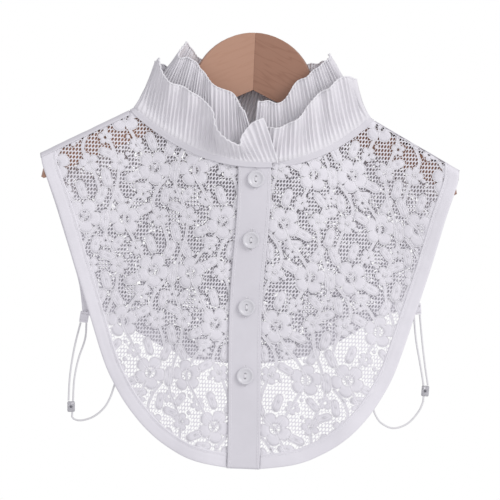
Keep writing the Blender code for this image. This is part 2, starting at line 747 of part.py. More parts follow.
def arc(centre, radius, start, end, count):
    return [(centre[0] + radius * math.cos(start + (end - start) * i / count),
             centre[1] + radius * math.sin(start + (end - start) * i / count))
            for i in range(count + 1)]


def board_outline():
    """One board of the hanger in its own plane, from the top of the arch round to the middle."""
    def top_line(x):
        return shoulder_z(x) - ARM_TOP_GAP

    slope = math.atan(SHOULDER_SLOPE)
    # Fillet between the arch and the arm: its centre lies above both
    reach = ARCH_RADIUS + ARCH_FILLET
    centre_z = -ARCH_RADIUS
    best = min((x / 10.0 for x in range(400, 700)), key=lambda x: abs(
        math.hypot(x, top_line(x) + ARCH_FILLET / math.cos(slope) - centre_z) - reach))
    fillet = (best, top_line(best) + ARCH_FILLET / math.cos(slope))
    meet = math.atan2(fillet[1] - centre_z, fillet[0])
    points = arc((0.0, centre_z), ARCH_RADIUS, math.pi / 2, meet, 12)
    points += arc(fillet, ARCH_FILLET, meet + math.pi, 3 * math.pi / 2 - slope, 4)[1:]
    tip_top = ARM_TIP_X - ARM_TIP_CUT
    points.append((tip_top - 3.0, top_line(tip_top - 3.0)))
    points.append((tip_top, top_line(tip_top) - 3.0))
    tip_z = UNDERSIDE_Z - ARM_TIP_X * UNDERSIDE_SLOPE
    points.append((ARM_TIP_X, tip_z + 1.6))
    points.append((ARM_TIP_X - 2.0, tip_z + 0.4))
    points.append((0.0, UNDERSIDE_Z))
    return points


def build_hanger(light, dark, home):
    for name, sign, made_of in (("hanger_left", -1.0, light), ("hanger_right", 1.0, dark)):
        shape = bmesh.new()
        half = BOARD_THICK / 2
        outline = [(x / math.cos(ARM_YAW), z) for x, z in board_outline()]
        outline = [(-1.5, outline[-1][1]), (-1.5, 0.0)] + outline[1:]
        face = shape.faces.new([shape.verts.new((x * MM, half * MM, z * MM)) for x, z in outline])
        pushed = bmesh.ops.extrude_face_region(shape, geom=[face])
        moved = [item for item in pushed["geom"] if isinstance(item, bmesh.types.BMVert)]
        bmesh.ops.translate(shape, verts=moved, vec=(0.0, -BOARD_THICK * MM, 0.0))
        bmesh.ops.recalc_face_normals(shape, faces=shape.faces)
        rims = [edge for edge in shape.edges
                if all(abs(abs(v.co.y) - half * MM) < 1e-7 for v in edge.verts)
                and abs(edge.verts[0].co.y - edge.verts[1].co.y) < 1e-7
                and max(v.co.x for v in edge.verts) > 0.0]
        bmesh.ops.bevel(shape, geom=rims, offset=BOARD_EDGE * MM, segments=3, profile=0.5,
                        affect="EDGES", clamp_overlap=True)
        bmesh.ops.rotate(shape, verts=shape.verts, matrix=Matrix.Rotation(-ARM_YAW, 3, "Z"))
        bmesh.ops.bisect_plane(
            shape, geom=shape.verts[:] + shape.edges[:] + shape.faces[:],
            plane_co=(GAP / 2 * MM, 0.0, 0.0), plane_no=(-1.0, 0.0, 0.0), clear_outer=True)
        open_edges = [edge for edge in shape.edges if edge.is_boundary]
        bmesh.ops.holes_fill(shape, edges=open_edges)
        bmesh.ops.remove_doubles(shape, verts=shape.verts, dist=0.01 * MM)
        if sign < 0.0:
            bmesh.ops.scale(shape, verts=shape.verts, vec=(-1.0, 1.0, 1.0))
            bmesh.ops.reverse_faces(shape, faces=shape.faces)
        bmesh.ops.recalc_face_normals(shape, faces=shape.faces)
        mesh = bpy.data.meshes.new(name)
        shape.to_mesh(mesh)
        shape.free()
        mesh.shade_smooth()
        mesh.set_sharp_from_angle(angle=math.radians(35.0))
        add_object(name, mesh, made_of, home)


def elastic(name, route, count, made_of, home):
    """A round elastic through hand-placed points, on one smooth curve."""
    run = resample(catmull_rom(route, 8), count - 1)
    curve = bpy.data.curves.new(name, "CURVE")
    curve.dimensions = "3D"
    curve.bevel_depth = ELASTIC_RADIUS * MM
    curve.bevel_resolution = 2
    curve.use_fill_caps = True
    spline = curve.splines.new("POLY")
    spline.points.add(len(run) - 1)
    for point, place in zip(spline.points, run):
        point.co = (*(Vector(place) * MM), 1.0)
    made = bpy.data.objects.new(name, curve)
    curve.materials.append(made_of)
    home.objects.link(made)


def rounded_block(name, centre, size, edge, tilt, made_of, home):
    shape = bmesh.new()
    bmesh.ops.create_cube(shape, size=1.0)
    bmesh.ops.scale(shape, verts=shape.verts, vec=Vector(size) * MM)
    mesh = bpy.data.meshes.new(name)
    shape.to_mesh(mesh)
    shape.free()
    made = add_object(name, mesh, made_of, home)
    bevel = made.modifiers.new("edge", "BEVEL")
    bevel.width = edge * MM
    bevel.segments = 2
    made.matrix_world = Matrix.Translation(Vector(centre) * MM) @ Matrix.Rotation(tilt, 4, "Y")


# Straps: the tab under the back's corner, the slider, and three runs of elastic. The front run
# goes from the front's edge to the slider, the back run from the slider up to the tab, and the
# end run from the tab down to the slider again
STRAPS = {
    "left": {
        "tab": (-131.2, -5.6, -240.0), "tab_tilt": 0.12,
        "slider": (-138.6, -11.0, -314.0), "slider_tilt": -0.05,
        "front": ((-102.6, -16.4, -290.8), (-104.2, -16.3, -297.0), (-106.8, -16.0, -305.5),
                  (-111.5, -15.2, -314.0), (-120.0, -13.6, -321.5), (-130.0, -12.0, -325.0),
                  (-136.8, -11.2, -323.5), (-137.4, -11.0, -318.9)),
        "back": ((-137.2, -11.0, -309.05), (-137.0, -10.6, -292.0), (-134.4, -9.2, -275.0),
                 (-129.6, -7.2, -258.0), (-129.2, -5.6, -245.15)),
        "end": ((-133.9, -5.6, -244.65), (-138.0, -7.6, -265.0), (-140.6, -9.8, -288.0),
                (-140.9, -11.0, -309.2)),
    },
    "right": {
        "tab": (142.3, -5.9, -222.0), "tab_tilt": -0.10,
        "slider": (151.8, -11.5, -289.0), "slider_tilt": 0.05,
        "front": ((109.0, -17.9, -303.0), (111.2, -17.9, -309.5), (116.5, -17.3, -316.5),
                  (126.5, -16.0, -320.5), (138.0, -14.0, -316.5), (146.5, -12.2, -307.0),
                  (150.1, -11.5, -299.0), (150.6, -11.5, -293.8)),
        "back": ((150.1, -11.5, -284.05), (147.0, -10.4, -268.0), (142.6, -8.2, -247.0),
                 (140.2, -5.9, -227.1)),
        "end": ((145.0, -5.9, -226.6), (147.6, -8.2, -247.0), (150.8, -10.4, -268.0),
                (153.8, -11.5, -284.25)),
    },
}


def build_straps(ribbon, rubber, plastic, home):
    for side, strap in STRAPS.items():
        rounded_block(f"strap_tab_{side}", strap["tab"], (TAB_WIDTH, TAB_WALL, TAB_LENGTH), 0.5,
                      strap["tab_tilt"], ribbon, home)
        rounded_block(f"slider_{side}", strap["slider"], SLIDER_SIZE, SLIDER_EDGE,
                      strap["slider_tilt"], plastic, home)
        for run, count in (("front", 14), ("back", 12), ("end", 12)):
            elastic(f"strap_{side}_{run}", strap[run], count, rubber, home)


def main():
    clear_scene()
    home = collection(COLLECTION)
    cutters = collection("cutters")
    lace = material("floral_lace", LACE_WHITE, 0.8)
    cloth = material("white_cloth", WHITE_CLOTH, 0.6)
    build_fronts(lace, cloth, home)
    build_back(lace, cloth, home)
    build_shoulder_strips(cloth, home)
    build_binding(cloth, home)
    build_ruffle("ruffle_outer", OUTER_TOP, OUTER_ENDS, OUTER_LIFT, OUTER_END_LIFTS, cloth, home)
    build_ruffle("ruffle_inner", INNER_TOP, INNER_ENDS, INNER_LIFT, INNER_END_LIFTS, cloth, home)
    build_buttons(material("pearl_button", BUTTON_WHITE, 0.25), home, cutters)
    build_hanger(material("light_board", WOOD_LIGHT, 0.5), material("dark_board", WOOD_DARK, 0.5), home)
    build_straps(cloth, material("white_elastic", ELASTIC_WHITE, 0.7),
                 material("clear_plastic", SLIDER_CLEAR, 0.2), home)


main()
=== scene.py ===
import math

import bmesh
import bpy
import numpy as np
from mathutils import Matrix, Vector


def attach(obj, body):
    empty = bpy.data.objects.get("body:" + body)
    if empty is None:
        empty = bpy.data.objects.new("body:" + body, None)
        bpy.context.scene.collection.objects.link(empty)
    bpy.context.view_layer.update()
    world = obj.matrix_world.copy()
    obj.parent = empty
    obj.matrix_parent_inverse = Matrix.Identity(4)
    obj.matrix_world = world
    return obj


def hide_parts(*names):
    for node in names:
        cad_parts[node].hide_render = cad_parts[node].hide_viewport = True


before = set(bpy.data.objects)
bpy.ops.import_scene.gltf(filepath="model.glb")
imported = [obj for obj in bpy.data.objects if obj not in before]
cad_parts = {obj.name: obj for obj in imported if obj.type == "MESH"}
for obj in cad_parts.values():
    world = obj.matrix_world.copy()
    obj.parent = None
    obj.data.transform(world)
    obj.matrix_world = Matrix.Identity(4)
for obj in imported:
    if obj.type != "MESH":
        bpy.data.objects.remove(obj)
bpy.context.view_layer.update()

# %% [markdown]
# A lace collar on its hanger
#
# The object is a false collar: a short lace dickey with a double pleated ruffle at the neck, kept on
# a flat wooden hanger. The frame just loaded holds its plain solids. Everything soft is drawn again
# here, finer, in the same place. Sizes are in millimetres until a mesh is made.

MM = 0.001

# %% [markdown]
# Camera, floor and light
#
# The photo looks straight at the buttoned front with a long lens, and the hanger leans 2.4 degrees
# clockwise. The lean is given to the camera, so the collar itself stays upright. A big soft light
# from the upper right and a pale room give the even look of a product picture.

# %% Camera, floor and light
scene = bpy.context.scene
scene.view_settings.view_transform = "Standard"
LEAN = math.radians(2.4)
DISTANCE = 3.0
VIEW_WIDTH = 0.410

lens = bpy.data.cameras.new("camera")
lens.lens = lens.sensor_width * DISTANCE / VIEW_WIDTH
camera = bpy.data.objects.new("camera", lens)
scene.collection.objects.link(camera)
target = Vector((0.003, -0.02, -0.1792))
camera.matrix_world = (Matrix.Translation(target - Vector((0.0, DISTANCE, 0.0)))
                       @ Matrix.Rotation(math.radians(90.0), 4, "X") @ Matrix.Rotation(LEAN, 4, "Z"))
scene.camera = camera

floor_mesh = bpy.data.meshes.new("floor")
floor_mesh.from_pydata([(x, y, -0.95) for x, y in ((-7, -7), (7, -7), (7, 7), (-7, 7))], [],
                       [(0, 1, 2, 3)])
floor = bpy.data.objects.new("floor", floor_mesh)
scene.collection.objects.link(floor)


def soft_light(name, place, size, power, colour=(1.0, 1.0, 1.0)):
    light = bpy.data.lights.new(name, "AREA")
    light.size = size
    light.energy = power
    light.color = colour
    made = bpy.data.objects.new(name, light)
    scene.collection.objects.link(made)
    aim = target - Vector(place)
    made.matrix_world = Matrix.Translation(place) @ aim.to_track_quat("-Z", "Y").to_matrix().to_4x4()


soft_light("window", (1.4, -1.2, 0.8), 1.0, 15.5, (1.0, 0.985, 1.0))
soft_light("fill", (-1.2, -1.6, 0.2), 1.6, 1.6, (0.98, 0.97, 1.0))
soft_light("front", (0.1, -2.6, 0.25), 0.5, 3.1, (1.0, 0.985, 1.0))

world = bpy.data.worlds.new("pale_room")
scene.world = world
world.use_nodes = True
room = world.node_tree
sky = room.nodes["Background"]
sky.inputs["Color"].default_value = (0.955, 0.935, 1.0, 1.0)
sky.inputs["Strength"].default_value = 0.55
white = room.nodes.new("ShaderNodeBackground")
white.inputs["Color"].default_value = (1.0, 1.0, 1.0, 1.0)
path = room.nodes.new("ShaderNodeLightPath")
mix = room.nodes.new("ShaderNodeMixShader")
room.links.new(path.outputs["Is Camera Ray"], mix.inputs["Fac"])
room.links.new(sky.outputs["Background"], mix.inputs[1])
room.links.new(white.outputs["Background"], mix.inputs[2])
room.links.new(mix.outputs["Shader"], room.nodes["World Output"].inputs["Surface"])
print("view:", VIEW_WIDTH / MM, "mm wide")

# %% [markdown]
# Finishes shared by several materials
#
# Woven cloth, knitted lace and wood each need a fine relief. It is drawn once for each as a node
# group that gives a height and a shade, and every material places the group with its own values. The
# weave is two sets of soft ridges that cross; slubs are a stretched noise.

# %% Node groups


def new_group(name, inputs, outputs):
    group = bpy.data.node_groups.new(name, "ShaderNodeTree")
    for label, kind, value in inputs:
        socket = group.interface.new_socket(label, in_out="INPUT", socket_type=kind)
        if value is not None:
            socket.default_value = value
    for label, kind in outputs:
        group.interface.new_socket(label, in_out="OUTPUT", socket_type=kind)
    return group, group.nodes.new("NodeGroupInput"), group.nodes.new("NodeGroupOutput")


def add_node(tree, kind, settings=None, values=None, links=None):
    """A node with its properties, socket values and incoming links set."""
    node = tree.nodes.new(kind)
    for name, value in (settings or {}).items():
        setattr(node, name, value)
    for name, value in (values or {}).items():
        node.inputs[name].default_value = value
    for name, source in (links or {}).items():
        tree.links.new(source, node.inputs[name])
    return node


def math_node(tree, operation, a, b=None):
    node = tree.nodes.new("ShaderNodeMath")
    node.operation = operation
    for index, value in enumerate((a, b)):
        if value is None:
            continue
        if isinstance(value, (int, float)):
            node.inputs[index].default_value = value
        else:
            tree.links.new(value, node.inputs[index])
    return node.outputs[0]


def weave_group():
    group, given, out = new_group(
        "plain_weave",
        [("Vector", "NodeSocketVector", None), ("Thread", "NodeSocketFloat", 2000.0),
         ("Slub", "NodeSocketFloat", 60.0)],
        [("Height", "NodeSocketFloat"), ("Shade", "NodeSocketFloat")])
    apart = add_node(group, "ShaderNodeSeparateXYZ", links={0: given.outputs["Vector"]})
    ridges = []
    for axis in ("X", "Z"):
        turns = math_node(group, "MULTIPLY", apart.outputs[axis], given.outputs["Thread"])
        ridges.append(math_node(group, "SINE", turns))
    crossed = math_node(group, "MULTIPLY", ridges[0], ridges[1])
    slubs = add_node(group, "ShaderNodeTexNoise", values={"Detail": 3.0},
                     links={"Vector": given.outputs["Vector"], "Scale": given.outputs["Slub"]})
    height = math_node(group, "ADD", math_node(group, "MULTIPLY", crossed, 0.5),
                       slubs.outputs["Fac"])
    shade = math_node(group, "ADD", math_node(group, "MULTIPLY", slubs.outputs["Fac"], 0.10), 0.95)
    group.links.new(height, out.inputs["Height"])
    group.links.new(shade, out.inputs["Shade"])
    return group


def thread_group():
    group, given, out = new_group(
        "fine_threads",
        [("Vector", "NodeSocketVector", None), ("Fineness", "NodeSocketFloat", 900.0)],
        [("Height", "NodeSocketFloat"), ("Shade", "NodeSocketFloat")])
    stretched = add_node(group, "ShaderNodeMapping", values={"Scale": (1.0, 1.0, 0.35),
                         "Rotation": (0.0, 0.5, 0.0)}, links={"Vector": given.outputs["Vector"]})
    loops = add_node(group, "ShaderNodeTexVoronoi", links={
        "Vector": stretched.outputs["Vector"], "Scale": given.outputs["Fineness"]})
    cloudy = add_node(group, "ShaderNodeTexNoise", values={"Scale": 45.0, "Detail": 2.0},
                      links={"Vector": given.outputs["Vector"]})
    height = math_node(group, "SUBTRACT", 1.0, loops.outputs["Distance"])
    shade = math_node(group, "ADD", math_node(group, "MULTIPLY", cloudy.outputs["Fac"], 0.12), 0.93)
    group.links.new(height, out.inputs["Height"])
    group.links.new(shade, out.inputs["Shade"])
    return group


def grain_group():
    group, given, out = new_group(
        "wood_grain",
        [("Vector", "NodeSocketVector", None), ("Tilt", "NodeSocketFloat", 0.4)],
        [("Rings", "NodeSocketFloat"), ("Pores", "NodeSocketFloat")])
    turned = add_node(group, "ShaderNodeVectorRotate", {"rotation_type": "Y_AXIS"},
                      links={"Vector": given.outputs["Vector"], "Angle": given.outputs["Tilt"]})
    long_way = add_node(group, "ShaderNodeMapping", values={"Scale": (6.0, 60.0, 75.0)},
                        links={"Vector": turned.outputs["Vector"]})
    bend = add_node(group, "ShaderNodeTexNoise", values={"Scale": 1.2, "Detail": 3.0},
                    links={"Vector": long_way.outputs["Vector"]})
    pores_map = add_node(group, "ShaderNodeMapping", values={"Scale": (60.0, 900.0, 900.0)},
                         links={"Vector": turned.outputs["Vector"]})
    pores = add_node(group, "ShaderNodeTexNoise", values={"Scale": 1.0, "Detail": 4.0},
                     links={"Vector": pores_map.outputs["Vector"]})
    rings = math_node(group, "ABSOLUTE",
                      math_node(group, "SINE", math_node(group, "MULTIPLY", bend.outputs["Fac"], 22.0)))
    group.links.new(rings, out.inputs["Rings"])
    group.links.new(pores.outputs["Fac"], out.inputs["Pores"])
    return group


WEAVE = weave_group()
THREADS = thread_group()
GRAIN = grain_group()

# %% [markdown]
# Materials
#
# All the cloth is white, but not one white: the satin strips shine a little along their folds, the
# lace is matt and slightly violet in its shadows, and the ruffle is thin. Sheen gives each the soft
# bright rim of fine fibres. The hanger's two boards are one wood in two tones of painted light: the
# left board is painted lighter where the light falls on it, the right one darker for its shade.

# %% Materials


def cloth_material(name, colour, group, socket, fineness, roughness, sheen, bump, distance):
    made = bpy.data.materials.new(name)
    made.use_nodes = True
    tree = made.node_tree
    shader = tree.nodes["Principled BSDF"]
    place = tree.nodes.new("ShaderNodeTexCoord")
    relief = add_node(tree, "ShaderNodeGroup", {"node_tree": group}, values={socket: fineness},
                      links={"Vector": place.outputs["Object"]})
    tint = add_node(tree, "ShaderNodeMix", {"data_type": "RGBA", "blend_type": "MULTIPLY"})
    tint.inputs["Factor"].default_value = 1.0
    tint.inputs[6].default_value = (*colour, 1.0)
    tree.links.new(relief.outputs["Shade"], tint.inputs[7])
    tree.links.new(tint.outputs[2], shader.inputs["Base Color"])
    raised = add_node(tree, "ShaderNodeBump", values={"Strength": bump, "Distance": distance},
                      links={"Height": relief.outputs["Height"]})
    tree.links.new(raised.outputs["Normal"], shader.inputs["Normal"])
    shader.inputs["Roughness"].default_value = roughness
    shader.inputs["Sheen Weight"].default_value = sheen
    shader.inputs["Sheen Roughness"].default_value = 0.45
    shader.inputs["Specular IOR Level"].default_value = 0.35
    return made


LACE_WHITE = cloth_material("lace_thread", (0.88, 0.87, 0.90), THREADS, "Fineness", 1100.0, 0.85, 0.25,
                            0.35, 0.0003)
MOTIF_WHITE = cloth_material("lace_clothwork", (0.88, 0.87, 0.90), THREADS, "Fineness", 1500.0, 0.8,
                             0.25, 0.3, 0.0002)
CORD_WHITE = cloth_material("lace_outline_cord", (0.97, 0.965, 0.98), THREADS, "Fineness", 2200.0, 0.6,
                            0.3, 0.3, 0.0002)
SATIN = cloth_material("satin_strip", (0.89, 0.88, 0.91), WEAVE, "Thread", 9000.0, 0.48, 0.25, 0.10,
                       0.0002)
PLAIN_WHITE = cloth_material("placket_cloth", (0.79, 0.78, 0.81), WEAVE, "Thread", 7000.0, 0.6, 0.25,
                             0.12, 0.0002)
RUFFLE_WHITE = cloth_material("thin_ruffle", (0.87, 0.86, 0.88), WEAVE, "Thread", 8000.0, 0.7, 0.3,
                              0.12, 0.0002)
ELASTIC = cloth_material("elastic_cord", (0.85, 0.85, 0.85), THREADS, "Fineness", 2500.0, 0.7, 0.2,
                         0.4, 0.0003)


def plastic_material(name, colour, roughness, transmission=0.0):
    made = bpy.data.materials.new(name)
    made.use_nodes = True
    tree = made.node_tree
    shader = tree.nodes["Principled BSDF"]
    place = tree.nodes.new("ShaderNodeTexCoord")
    clouds = add_node(tree, "ShaderNodeTexNoise", values={"Scale": 160.0, "Detail": 2.0},
                      links={"Vector": place.outputs["Object"]})
    ramp = tree.nodes.new("ShaderNodeValToRGB")
    ramp.color_ramp.elements[0].color = (*[0.93 * part for part in colour], 1.0)
    ramp.color_ramp.elements[1].color = (*colour, 1.0)
    tree.links.new(clouds.outputs["Fac"], ramp.inputs["Fac"])
    tree.links.new(ramp.outputs["Color"], shader.inputs["Base Color"])
    shader.inputs["Roughness"].default_value = roughness
    shader.inputs["Transmission Weight"].default_value = transmission
    shader.inputs["Coat Weight"].default_value = 0.4
    shader.inputs["Coat Roughness"].default_value = 0.15
    return made


PEARL = plastic_material("pearl_button", (0.80, 0.80, 0.82), 0.3)
CLEAR = plastic_material("clear_slider", (0.72, 0.72, 0.74), 0.12, 0.35)


def wood_material(name, light, dark, tilt):
    made = bpy.data.materials.new(name)
    made.use_nodes = True
    tree = made.node_tree
    shader = tree.nodes["Principled BSDF"]
    place = tree.nodes.new("ShaderNodeTexCoord")
    grain = add_node(tree, "ShaderNodeGroup", {"node_tree": GRAIN}, values={"Tilt": tilt},
                     links={"Vector": place.outputs["Object"]})
    ramp = tree.nodes.new("ShaderNodeValToRGB")
    ramp.color_ramp.elements[0].color = (*dark, 1.0)
    ramp.color_ramp.elements[0].position = 0.0
    ramp.color_ramp.elements[1].color = (*light, 1.0)
    ramp.color_ramp.elements[1].position = 0.55
    blend = math_node(tree, "MULTIPLY", grain.outputs["Rings"], 0.65)
    blend = math_node(tree, "ADD", blend, math_node(tree, "MULTIPLY", grain.outputs["Pores"], 0.35))
    tree.links.new(blend, ramp.inputs["Fac"])
    tree.links.new(ramp.outputs["Color"], shader.inputs["Base Color"])
    raised = add_node(tree, "ShaderNodeBump", values={"Strength": 0.12, "Distance": 0.0003},
                      links={"Height": grain.outputs["Pores"]})
    tree.links.new(raised.outputs["Normal"], shader.inputs["Normal"])
    shader.inputs["Roughness"].default_value = 0.5
    shader.inputs["Coat Weight"].default_value = 0.12
    shader.inputs["Coat Roughness"].default_value = 0.4
    return made


# Painted light: one wood in two copies, the left board's lighter where light falls on it, the right board's
# darker for its shade.
WOOD_LEFT_LIT = wood_material("board_left_lit", (0.53, 0.30, 0.20), (0.50, 0.275, 0.178), 0.45)
WOOD_RIGHT_SHADED = wood_material("board_right_shaded", (0.41, 0.215, 0.138), (0.335, 0.162, 0.098), -0.45)

floor_white = bpy.data.materials.new("floor")
floor_white.use_nodes = True
floor_white.node_tree.nodes["Principled BSDF"].inputs["Base Color"].default_value = (0.95, 0.95, 0.95, 1)
floor_white.node_tree.nodes["Principled BSDF"].inputs["Roughness"].default_value = 0.9
floor_mesh.materials.append(floor_white)

# %% [markdown]
# From lists of points to finished pieces
#
# Every piece here is worked out as an array of points first. These helpers turn arrays into meshes,
# smooth a short list of hand-placed points into a run, and space a run evenly.

# %% Mesh helpers


def finished(name, mesh, made_of, smooth=True):
    """A piece in the scene: it rides on the hanger and knows which finish it has."""
    mesh.materials.clear()
    mesh.materials.append(made_of)
    if smooth:
        mesh.shade_smooth()
    made = bpy.data.objects.new(name, mesh)
    scene.collection.objects.link(made)
    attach(made, "root")
    return made


def mesh_of(name, points, faces):
    mesh = bpy.data.meshes.new(name)
    mesh.from_pydata([tuple(p) for p in points], [], [tuple(f) for f in faces])
    mesh.update()
    return mesh


def grid_faces(rows, columns, closed=False):
    """Quads of a grid of points; closed joins the last column to the first."""
    faces = []
    wide = columns if closed else columns - 1
    for row in range(rows - 1):
        for column in range(wide):
            after = (column + 1) % columns
            faces.append((row * columns + column, row * columns + after,
                          (row + 1) * columns + after, (row + 1) * columns + column))
    return faces


def smooth_run(rows, steps):
    """A smooth curve through rows of numbers."""
    rows = np.array(rows, dtype=float)
    run = []
    last = len(rows) - 1
    for index in range(last):
        a, b = rows[max(0, index - 1)], rows[index]
        c, d = rows[index + 1], rows[min(last, index + 2)]
        for part in range(steps):
            t = part / steps
            run.append(0.5 * (2 * b + (c - a) * t + (2 * a - 5 * b + 4 * c - d) * t * t
                              + (3 * b - a - 3 * c + d) * t ** 3))
    run.append(rows[last])
    return np.array(run)


def even(run, count):
    """The same run with count equal steps."""
    run = np.asarray(run, dtype=float)
    steps = np.linalg.norm(np.diff(run, axis=0), axis=1)
    lengths = np.concatenate([[0.0], np.cumsum(steps)])
    wanted = np.linspace(0.0, lengths[-1], count + 1)
    return np.stack([np.interp(wanted, lengths, run[:, k]) for k in range(run.shape[1])], axis=1)


def run_length(run):
    return float(np.linalg.norm(np.diff(np.asarray(run), axis=0), axis=1).sum())


def tube(points, radius, sides):
    """Points and faces of a round tube along points, with closed ends."""
    points = np.asarray(points, dtype=float)
    ahead = np.gradient(points, axis=0)
    ahead /= np.linalg.norm(ahead, axis=1)[:, None] + 1e-12
    side = np.zeros_like(points)
    reference = np.array([0.0, 1.0, 0.0]) if abs(ahead[0][1]) < 0.8 else np.array([1.0, 0.0, 0.0])
    for index, direction in enumerate(ahead):
        across = np.cross(direction, reference)
        across /= np.linalg.norm(across) + 1e-12
        side[index] = across
        reference = np.cross(across, direction)
    up = np.cross(ahead, side)
    turns = np.arange(sides) * 2 * math.pi / sides
    ring = (side[:, None, :] * np.cos(turns)[None, :, None]
            + up[:, None, :] * np.sin(turns)[None, :, None]) * radius
    verts = (points[:, None, :] + ring).reshape(-1, 3)
    faces = grid_faces(len(points), sides, closed=True)
    last = (len(points) - 1) * sides
    faces += [tuple(range(sides)), tuple(last + k for k in reversed(range(sides)))]
    return verts, faces


def turned_out(mesh):
    """Merges points that meet and turns the faces outwards."""
    shape = bmesh.new()
    shape.from_mesh(mesh)
    bmesh.ops.remove_doubles(shape, verts=shape.verts, dist=1e-6)
    bmesh.ops.recalc_face_normals(shape, faces=shape.faces)
    shape.to_mesh(mesh)
    shape.free()
    return mesh


def add_parts(parts):
    """Several (points, faces) lists as one."""
    points = []
    faces = []
    start = 0
    for part_points, part_faces in parts:
        points.append(np.asarray(part_points, dtype=float))
        faces += [tuple(start + k for k in face) for face in part_faces]
        start += len(part_points)
    return np.concatenate(points), faces


# %% [markdown]
# The elastic straps
#
# On each side a thin elastic runs from the front's edge through a small clear slider up to a ribbon
# tab on the back's corner, and its loose end comes back down to the slider. They are round cords, so
# each is a curve with a round section through a few given points. They come first, because the frame
# measures them.

# %% Elastic straps
ELASTIC_RADIUS = 0.8
STRAPS = {
    "left": {
        "tab": (-131.2, -5.6, -240.0), "tab_tilt": 0.12,
        "slider": (-138.6, -11.0, -314.0), "slider_tilt": -0.05,
        "front": ((-102.6, -16.4, -290.8), (-104.2, -16.3, -297.0), (-106.8, -16.0, -305.5),
                  (-111.5, -15.2, -314.0), (-120.0, -13.6, -321.5), (-130.0, -12.0, -325.0),
                  (-136.8, -11.2, -323.5), (-137.4, -11.0, -318.9)),
        "back": ((-137.2, -11.0, -309.05), (-137.0, -10.6, -292.0), (-134.4, -9.2, -275.0),
                 (-129.6, -7.2, -258.0), (-129.2, -5.6, -245.15)),
        "end": ((-133.9, -5.6, -244.65), (-138.0, -7.6, -265.0), (-140.6, -9.8, -288.0),
                (-140.9, -11.0, -309.2)),
    },
    "right": {
        "tab": (142.3, -5.9, -222.0), "tab_tilt": -0.10,
        "slider": (151.8, -11.5, -289.0), "slider_tilt": 0.05,
        "front": ((109.0, -17.9, -303.0), (111.2, -17.9, -309.5), (116.5, -17.3, -316.5),
                  (126.5, -16.0, -320.5), (138.0, -14.0, -316.5), (146.5, -12.2, -307.0),
                  (150.1, -11.5, -299.0), (150.6, -11.5, -293.8)),
        "back": ((150.1, -11.5, -284.05), (147.0, -10.4, -268.0), (142.6, -8.2, -247.0),
                 (140.2, -5.9, -227.1)),
        "end": ((145.0, -5.9, -226.6), (147.6, -8.2, -247.0), (150.8, -10.4, -268.0),
                (153.8, -11.5, -284.25)),
    },
}


def elastic_curve(name, route, count):
    """A round elastic on one smooth curve; gives the piece and its length in metres."""
    run = even(smooth_run(route, 8), count) * MM
    curve = bpy.data.curves.new(name, "CURVE")
    curve.dimensions = "3D"
    curve.bevel_depth = ELASTIC_RADIUS * MM
    curve.bevel_resolution = 4
    curve.use_fill_caps = True
    curve.materials.append(ELASTIC)
    spline = curve.splines.new("POLY")
    spline.points.add(len(run) - 1)
    for point, place in zip(spline.points, run):
        point.co = (*place, 1.0)
    made = bpy.data.objects.new(name, curve)
    scene.collection.objects.link(made)
    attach(made, "root")
    return made, run, run_length(run)


def slider_piece(side, strap):
    """A clear slider: a rounded plate, and a dark disc on its front, painted shade for the slot that the
    elastic runs through.
    """
    shape = bmesh.new()
    bmesh.ops.create_cube(shape, size=1.0)
    bmesh.ops.scale(shape, verts=shape.verts, vec=(6.2 * MM, 3.2 * MM, 8.8 * MM))
    bmesh.ops.bevel(shape, geom=shape.edges[:], offset=1.1 * MM, segments=3, profile=0.5,
                    affect="EDGES")
    mesh = bpy.data.meshes.new(f"slider_{side}_body")
    shape.to_mesh(mesh)
    shape.free()
    mesh.transform(Matrix.Translation(Vector(strap["slider"]) * MM)
                   @ Matrix.Rotation(strap["slider_tilt"], 4, "Y"))
    made = finished(f"slider_body_{side}", mesh, CLEAR)
    # A dark disc on the slider's front: painted shade where the slot's opening shows dark.
    eye = bmesh.new()
    bmesh.ops.create_cone(eye, cap_ends=True, segments=20, radius1=1.1 * MM, radius2=0.9 * MM,
                          depth=0.5 * MM)
    eye_mesh = bpy.data.meshes.new(f"slider_{side}_pin")
    eye.to_mesh(eye_mesh)
    eye.free()
    front = Vector(strap["slider"]) * MM + Vector((0.0, -1.75 * MM, 0.0))
    eye_mesh.transform(Matrix.Translation(front) @ Matrix.Rotation(math.radians(90.0), 4, "X"))
    shaded_slot = finished(f"slider_pin_{side}", eye_mesh, SLOT_SHADE)
    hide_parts(f"slider_{side}")
    return made, shaded_slot


# Finish of the dark disc: near-black with faint noise, painted shade for the slider's slot.
SLOT_SHADE = bpy.data.materials.new("slider_slot_shade")
SLOT_SHADE.use_nodes = True
slot_shade_tree = SLOT_SHADE.node_tree
slot_shade_shader = slot_shade_tree.nodes["Principled BSDF"]
slot_shade_noise = add_node(slot_shade_tree, "ShaderNodeTexNoise", values={"Scale": 900.0})
slot_shade_ramp = slot_shade_tree.nodes.new("ShaderNodeValToRGB")
slot_shade_ramp.color_ramp.elements[0].color = (0.10, 0.10, 0.11, 1.0)
slot_shade_ramp.color_ramp.elements[1].color = (0.22, 0.22, 0.24, 1.0)
slot_shade_tree.links.new(slot_shade_tree.nodes.new("ShaderNodeTexCoord").outputs["Object"], slot_shade_noise.inputs["Vector"])
slot_shade_tree.links.new(slot_shade_noise.outputs["Fac"], slot_shade_ramp.inputs["Fac"])
slot_shade_tree.links.new(slot_shade_ramp.outputs["Color"], slot_shade_shader.inputs["Base Color"])
slot_shade_shader.inputs["Roughness"].default_value = 0.35

